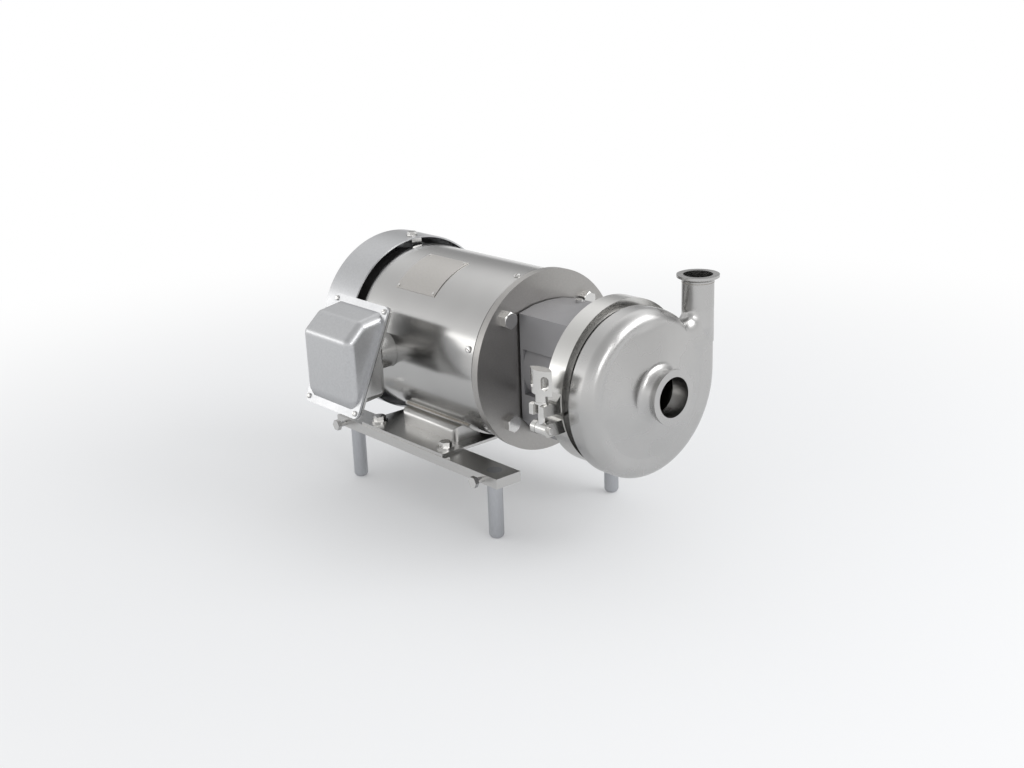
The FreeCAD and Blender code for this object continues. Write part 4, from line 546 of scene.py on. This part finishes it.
def fillet_section(x):
    """Corners of the fillet at one x: the hollow arc, then down inside the tube and back inside the drum."""
    casing = NODES["pump_casing"]
    beside = SHAFT_Y + FEEL_BESIDE
    above = casing.ray_cast(Vector((x, beside, CASING_HIGH.z + FEEL_OVER_CASING)), Vector((0, 0, -1)))
    across = casing.ray_cast(Vector((x, beside, SHAFT_Z + FEEL_OVER_SHAFT)), Vector((0, 1, 0)))
    if not above[0] or not across[0]:
        return None
    drum = math.hypot(FEEL_BESIDE, above[1].z - SHAFT_Z)
    wall = across[1].y - SHAFT_Y
    front = max(0.0, (x - TUBE_AXIS.x) / FILLET_GAIN_RUN)
    radius = FILLET_RADIUS + FILLET_GAIN * front
    reach = (drum + radius) ** 2 - (wall - radius) ** 2
    if reach <= (LEDGE + LEDGE_ROOM) ** 2:
        return None
    middle = Vector((wall - radius, math.sqrt(reach)))
    low = max(math.sqrt(max(drum ** 2 - wall ** 2, 0)), LEDGE) - LEDGE_SINK
    begin = math.atan2(-middle.y, -middle.x)
    deep = max(0.0, x - (DISC_X + FILLET_END - FRONT_ROUND))
    inset = FRONT_ROUND - math.sqrt(max(FRONT_ROUND ** 2 - deep ** 2, 0))
    hollow = radius + inset
    ring = []
    for part in range(HOLLOW_STEPS + 1):
        angle = begin * (1 - part / HOLLOW_STEPS)
        ring.append((middle.x + hollow * math.cos(angle), middle.y + hollow * math.sin(angle)))
    ring.append((wall + inset + FILLET_SINK, middle.y))
    ring.append((wall + inset + FILLET_SINK, low))
    inner = drum - inset - FILLET_SINK
    from_turn = math.asin(min(low / inner, 1))
    to_turn = math.atan2(middle.y, middle.x)
    for part in range(DRUM_STEPS + 1):
        angle = from_turn + (to_turn - from_turn) * part / DRUM_STEPS
        ring.append((inner * math.cos(angle), inner * math.sin(angle)))
    return [Vector((x, SHAFT_Y + y, SHAFT_Z + z)) for y, z in ring]


def throat_fillet():
    """Rounded web in the notch between the drum and the discharge tube, tangent to both at each section."""
    start = DISC_X + FILLET_START
    end = DISC_X + FILLET_END
    places = [start + (end - start) * step / FILLET_STEPS for step in range(FILLET_STEPS + 1)]
    sections = [section for section in map(fillet_section, places) if section]
    mesh = bmesh.new()
    rings = [[mesh.verts.new(point) for point in section] for section in sections]
    skin_sides(mesh, rings)
    mesh.faces.new(rings[0])
    mesh.faces.new(list(reversed(rings[-1])))
    finish_skin(mesh)
    for edge in mesh.edges:
        edge.smooth = edge.calc_face_angle(0) < SHARP_EDGE
    add_piece("throat_fillet", mesh, FINISHES["casing_steel"])


def ring_route(centre, axis, radius, count):
    """Points round a circle, the last on the first."""
    across = axis.orthogonal().normalized()
    other = axis.cross(across)
    route = []
    for step in range(count + 1):
        angle = 2 * math.pi * step / count
        route.append(centre + (across * math.cos(angle) + other * math.sin(angle)) * radius)
    return route


def discharge_weld():
    """Thin dressed line of weld where the discharge ferrule joins its tube."""
    below_lip = 0.0085
    centre = Vector((TUBE_AXIS.x, TUBE_AXIS.y, CASING_HIGH.z - below_lip))
    route = ring_route(centre, Vector((0, 0, 1)), TUBE_RADIUS, count=180)
    weld_bead("discharge_weld", route, radius=0.00028, ripple=0.00008, pitch=0.0012, seed=5)


def small_pieces():
    lid = box_axis()
    screw_heads("shell_screws", from_shaft, SHELL_SCREW, SHELL_SCREW_TURNS)
    screw_heads("conduit_box_screws", lambda middle: lid, BOX_SCREW, BOX_SCREW_TURNS)
    foot_welds()
    throat_fillet()
    discharge_weld()


# Studio. Tones of the walls by height, from the horizon at 0.5 to overhead at 1, and how wide they blend.
NEAR_TONES = [(0.50, 1.00), (0.54, 1.00), (0.60, 1.30), (0.72, 1.02), (0.85, 0.66), (1.00, 0.58)]
FAR_TONES = [(0.50, 1.00), (0.525, 1.00), (0.56, 0.36), (0.60, 0.36), (0.70, 0.58), (0.82, 1.30),
             (0.90, 1.30), (1.00, 0.80)]
WALL_BLEND = 0.6

# The floor, and the share of plain white that it gains from near the pump to far off
FLOOR_HALF = 80.0
FLOOR_TONE = (0.775, 0.785, 0.80, 1)
GLOW_NEAR = 0.22
GLOW_FROM = 0.45
GLOW_TO = 1.6


def build_world():
    """Plain studio room, white at the horizon, with walls brighter on the near side than on the far one."""
    world = bpy.data.worlds.new("studio")
    bpy.context.scene.world = world
    world.use_nodes = True
    tree = world.node_tree
    tree.nodes.clear()
    coordinates = tree.nodes.new("ShaderNodeTexCoord")
    split = tree.nodes.new("ShaderNodeSeparateXYZ")
    tree.links.new(coordinates.outputs["Generated"], split.inputs[0])
    lift = tree.nodes.new("ShaderNodeMapRange")
    lift.inputs["From Min"].default_value = -1
    tree.links.new(split.outputs["Z"], lift.inputs["Value"])
    side = tree.nodes.new("ShaderNodeMapRange")
    side.interpolation_type = "SMOOTHSTEP"
    side.inputs["From Min"].default_value = -WALL_BLEND
    side.inputs["From Max"].default_value = WALL_BLEND
    tree.links.new(split.outputs["Y"], side.inputs["Value"])
    walls = []
    for tones in (NEAR_TONES, FAR_TONES):
        wall = tree.nodes.new("ShaderNodeValToRGB")
        fill_ramp(wall.color_ramp, [(position, (tone, tone, tone)) for position, tone in tones])
        tree.links.new(lift.outputs["Result"], wall.inputs["Fac"])
        walls.append(wall)
    mix = tree.nodes.new("ShaderNodeMix")
    mix.data_type = "RGBA"
    tree.links.new(side.outputs["Result"], mix.inputs["Factor"])
    tree.links.new(walls[0].outputs["Color"], mix.inputs["A"])
    tree.links.new(walls[1].outputs["Color"], mix.inputs["B"])
    room = tree.nodes.new("ShaderNodeBackground")
    out = tree.nodes.new("ShaderNodeOutputWorld")
    tree.links.new(mix.outputs["Result"], room.inputs["Color"])
    tree.links.new(room.outputs[0], out.inputs["Surface"])


def build_floor():
    """Pale floor that runs out to white away from the pump, in the view and in reflections."""
    corners = [(-FLOOR_HALF, -FLOOR_HALF, 0), (FLOOR_HALF, -FLOOR_HALF, 0),
               (FLOOR_HALF, FLOOR_HALF, 0), (-FLOOR_HALF, FLOOR_HALF, 0)]
    mesh = bpy.data.meshes.new("floor")
    mesh.from_pydata(corners, [], [(0, 1, 2, 3)])
    floor = bpy.data.objects.new("floor", mesh)
    bpy.context.scene.collection.objects.link(floor)
    made = Shader("floor_white")
    made.set(Base_Color=FLOOR_TONE, Roughness=0.9)
    made.surface.inputs["Specular IOR Level"].default_value = 0.1
    distance = made.node("ShaderNodeVectorMath", operation="LENGTH")
    made.link(made.place(), distance.inputs[0])
    fade = made.node("ShaderNodeMapRange", interpolation_type="SMOOTHSTEP")
    fade.inputs["From Min"].default_value = GLOW_FROM
    fade.inputs["From Max"].default_value = GLOW_TO
    fade.inputs["To Min"].default_value = GLOW_NEAR
    made.link(distance.outputs["Value"], fade.inputs["Value"])
    path = made.node("ShaderNodeLightPath")
    seen = made.maths("MAXIMUM", path.outputs["Is Camera Ray"], path.outputs["Is Glossy Ray"])
    seen = made.maths("MAXIMUM", seen, path.outputs["Is Transmission Ray"])
    share = made.maths("MULTIPLY", seen, fade.outputs["Result"])
    glow = made.node("ShaderNodeEmission")
    mix = made.node("ShaderNodeMixShader")
    made.link(share, mix.inputs[0])
    made.link(made.surface.outputs[0], mix.inputs[1])
    made.link(glow.outputs[0], mix.inputs[2])
    made.link(mix.outputs[0], made.tree.nodes["Material Output"].inputs["Surface"])
    mesh.materials.append(made.material)


def softbox(name, spot, aim, width, height, power, colour=(1, 1, 1)):
    """Area light at a spot, turned to a place that it lights, and not seen itself."""
    light = bpy.data.lights.new(name, "AREA")
    light.shape = "RECTANGLE"
    light.size = width
    light.size_y = height
    light.energy = power
    light.color = colour
    holder = bpy.data.objects.new(name, light)
    holder.location = spot
    holder.rotation_euler = (Vector(aim) - Vector(spot)).to_track_quat("-Z", "Y").to_euler()
    holder.visible_camera = False
    bpy.context.scene.collection.objects.link(holder)


def build_lights():
    middle = (0.0, 0.0, SHAFT_Z)
    softbox("side", (-1.75, -1.55, 0.62), middle, width=1.5, height=0.5, power=3.2, colour=(1.0, 0.99, 0.97))
    softbox("key", (1.7, 1.1, 1.5), middle, width=1.6, height=1.1, power=17)
    softbox("front", (2.1, -0.55, 1.2), middle, width=0.8, height=0.5, power=5)


# Camera, solved from the photograph: where it stands and how it is turned about the pump
CAMERA_AZIMUTH = 49.266
CAMERA_ELEVATION = 18.365
CAMERA_ROLL = -1.993
CAMERA_FROM_DISC = Vector((1.16758, -1.06597, 0.49513))
FOCAL_PIXELS = 1342.9
PHOTO_WIDTH = 1024
SENSOR = 36.0
NEAREST = 0.05
FARTHEST = 200


def build_camera():
    data = bpy.data.cameras.new("camera")
    data.sensor_width = SENSOR
    data.sensor_fit = "HORIZONTAL"
    data.lens = SENSOR * FOCAL_PIXELS / PHOTO_WIDTH
    data.clip_start = NEAREST
    data.clip_end = FARTHEST
    camera = bpy.data.objects.new("camera", data)
    azimuth = math.radians(CAMERA_AZIMUTH)
    elevation = math.radians(CAMERA_ELEVATION)
    roll = math.radians(CAMERA_ROLL)
    flat = math.cos(elevation)
    back = Vector((math.sin(azimuth) * flat, -math.cos(azimuth) * flat, math.sin(elevation)))
    level = Vector((math.cos(azimuth), math.sin(azimuth), 0))
    upright = back.cross(level)
    right = level * math.cos(roll) + upright * math.sin(roll)
    up = upright * math.cos(roll) - level * math.sin(roll)
    turn = Matrix((right, up, back)).transposed()
    place = Vector((DISC_X, SHAFT_Y, SHAFT_Z)) + CAMERA_FROM_DISC
    camera.matrix_world = Matrix.Translation(place) @ turn.to_4x4()
    bpy.context.scene.collection.objects.link(camera)
    bpy.context.scene.camera = camera


dress_nodes()
small_pieces()
build_world()
build_floor()
build_lights()
build_camera()
bpy.context.scene.view_settings.view_transform = "Standard"
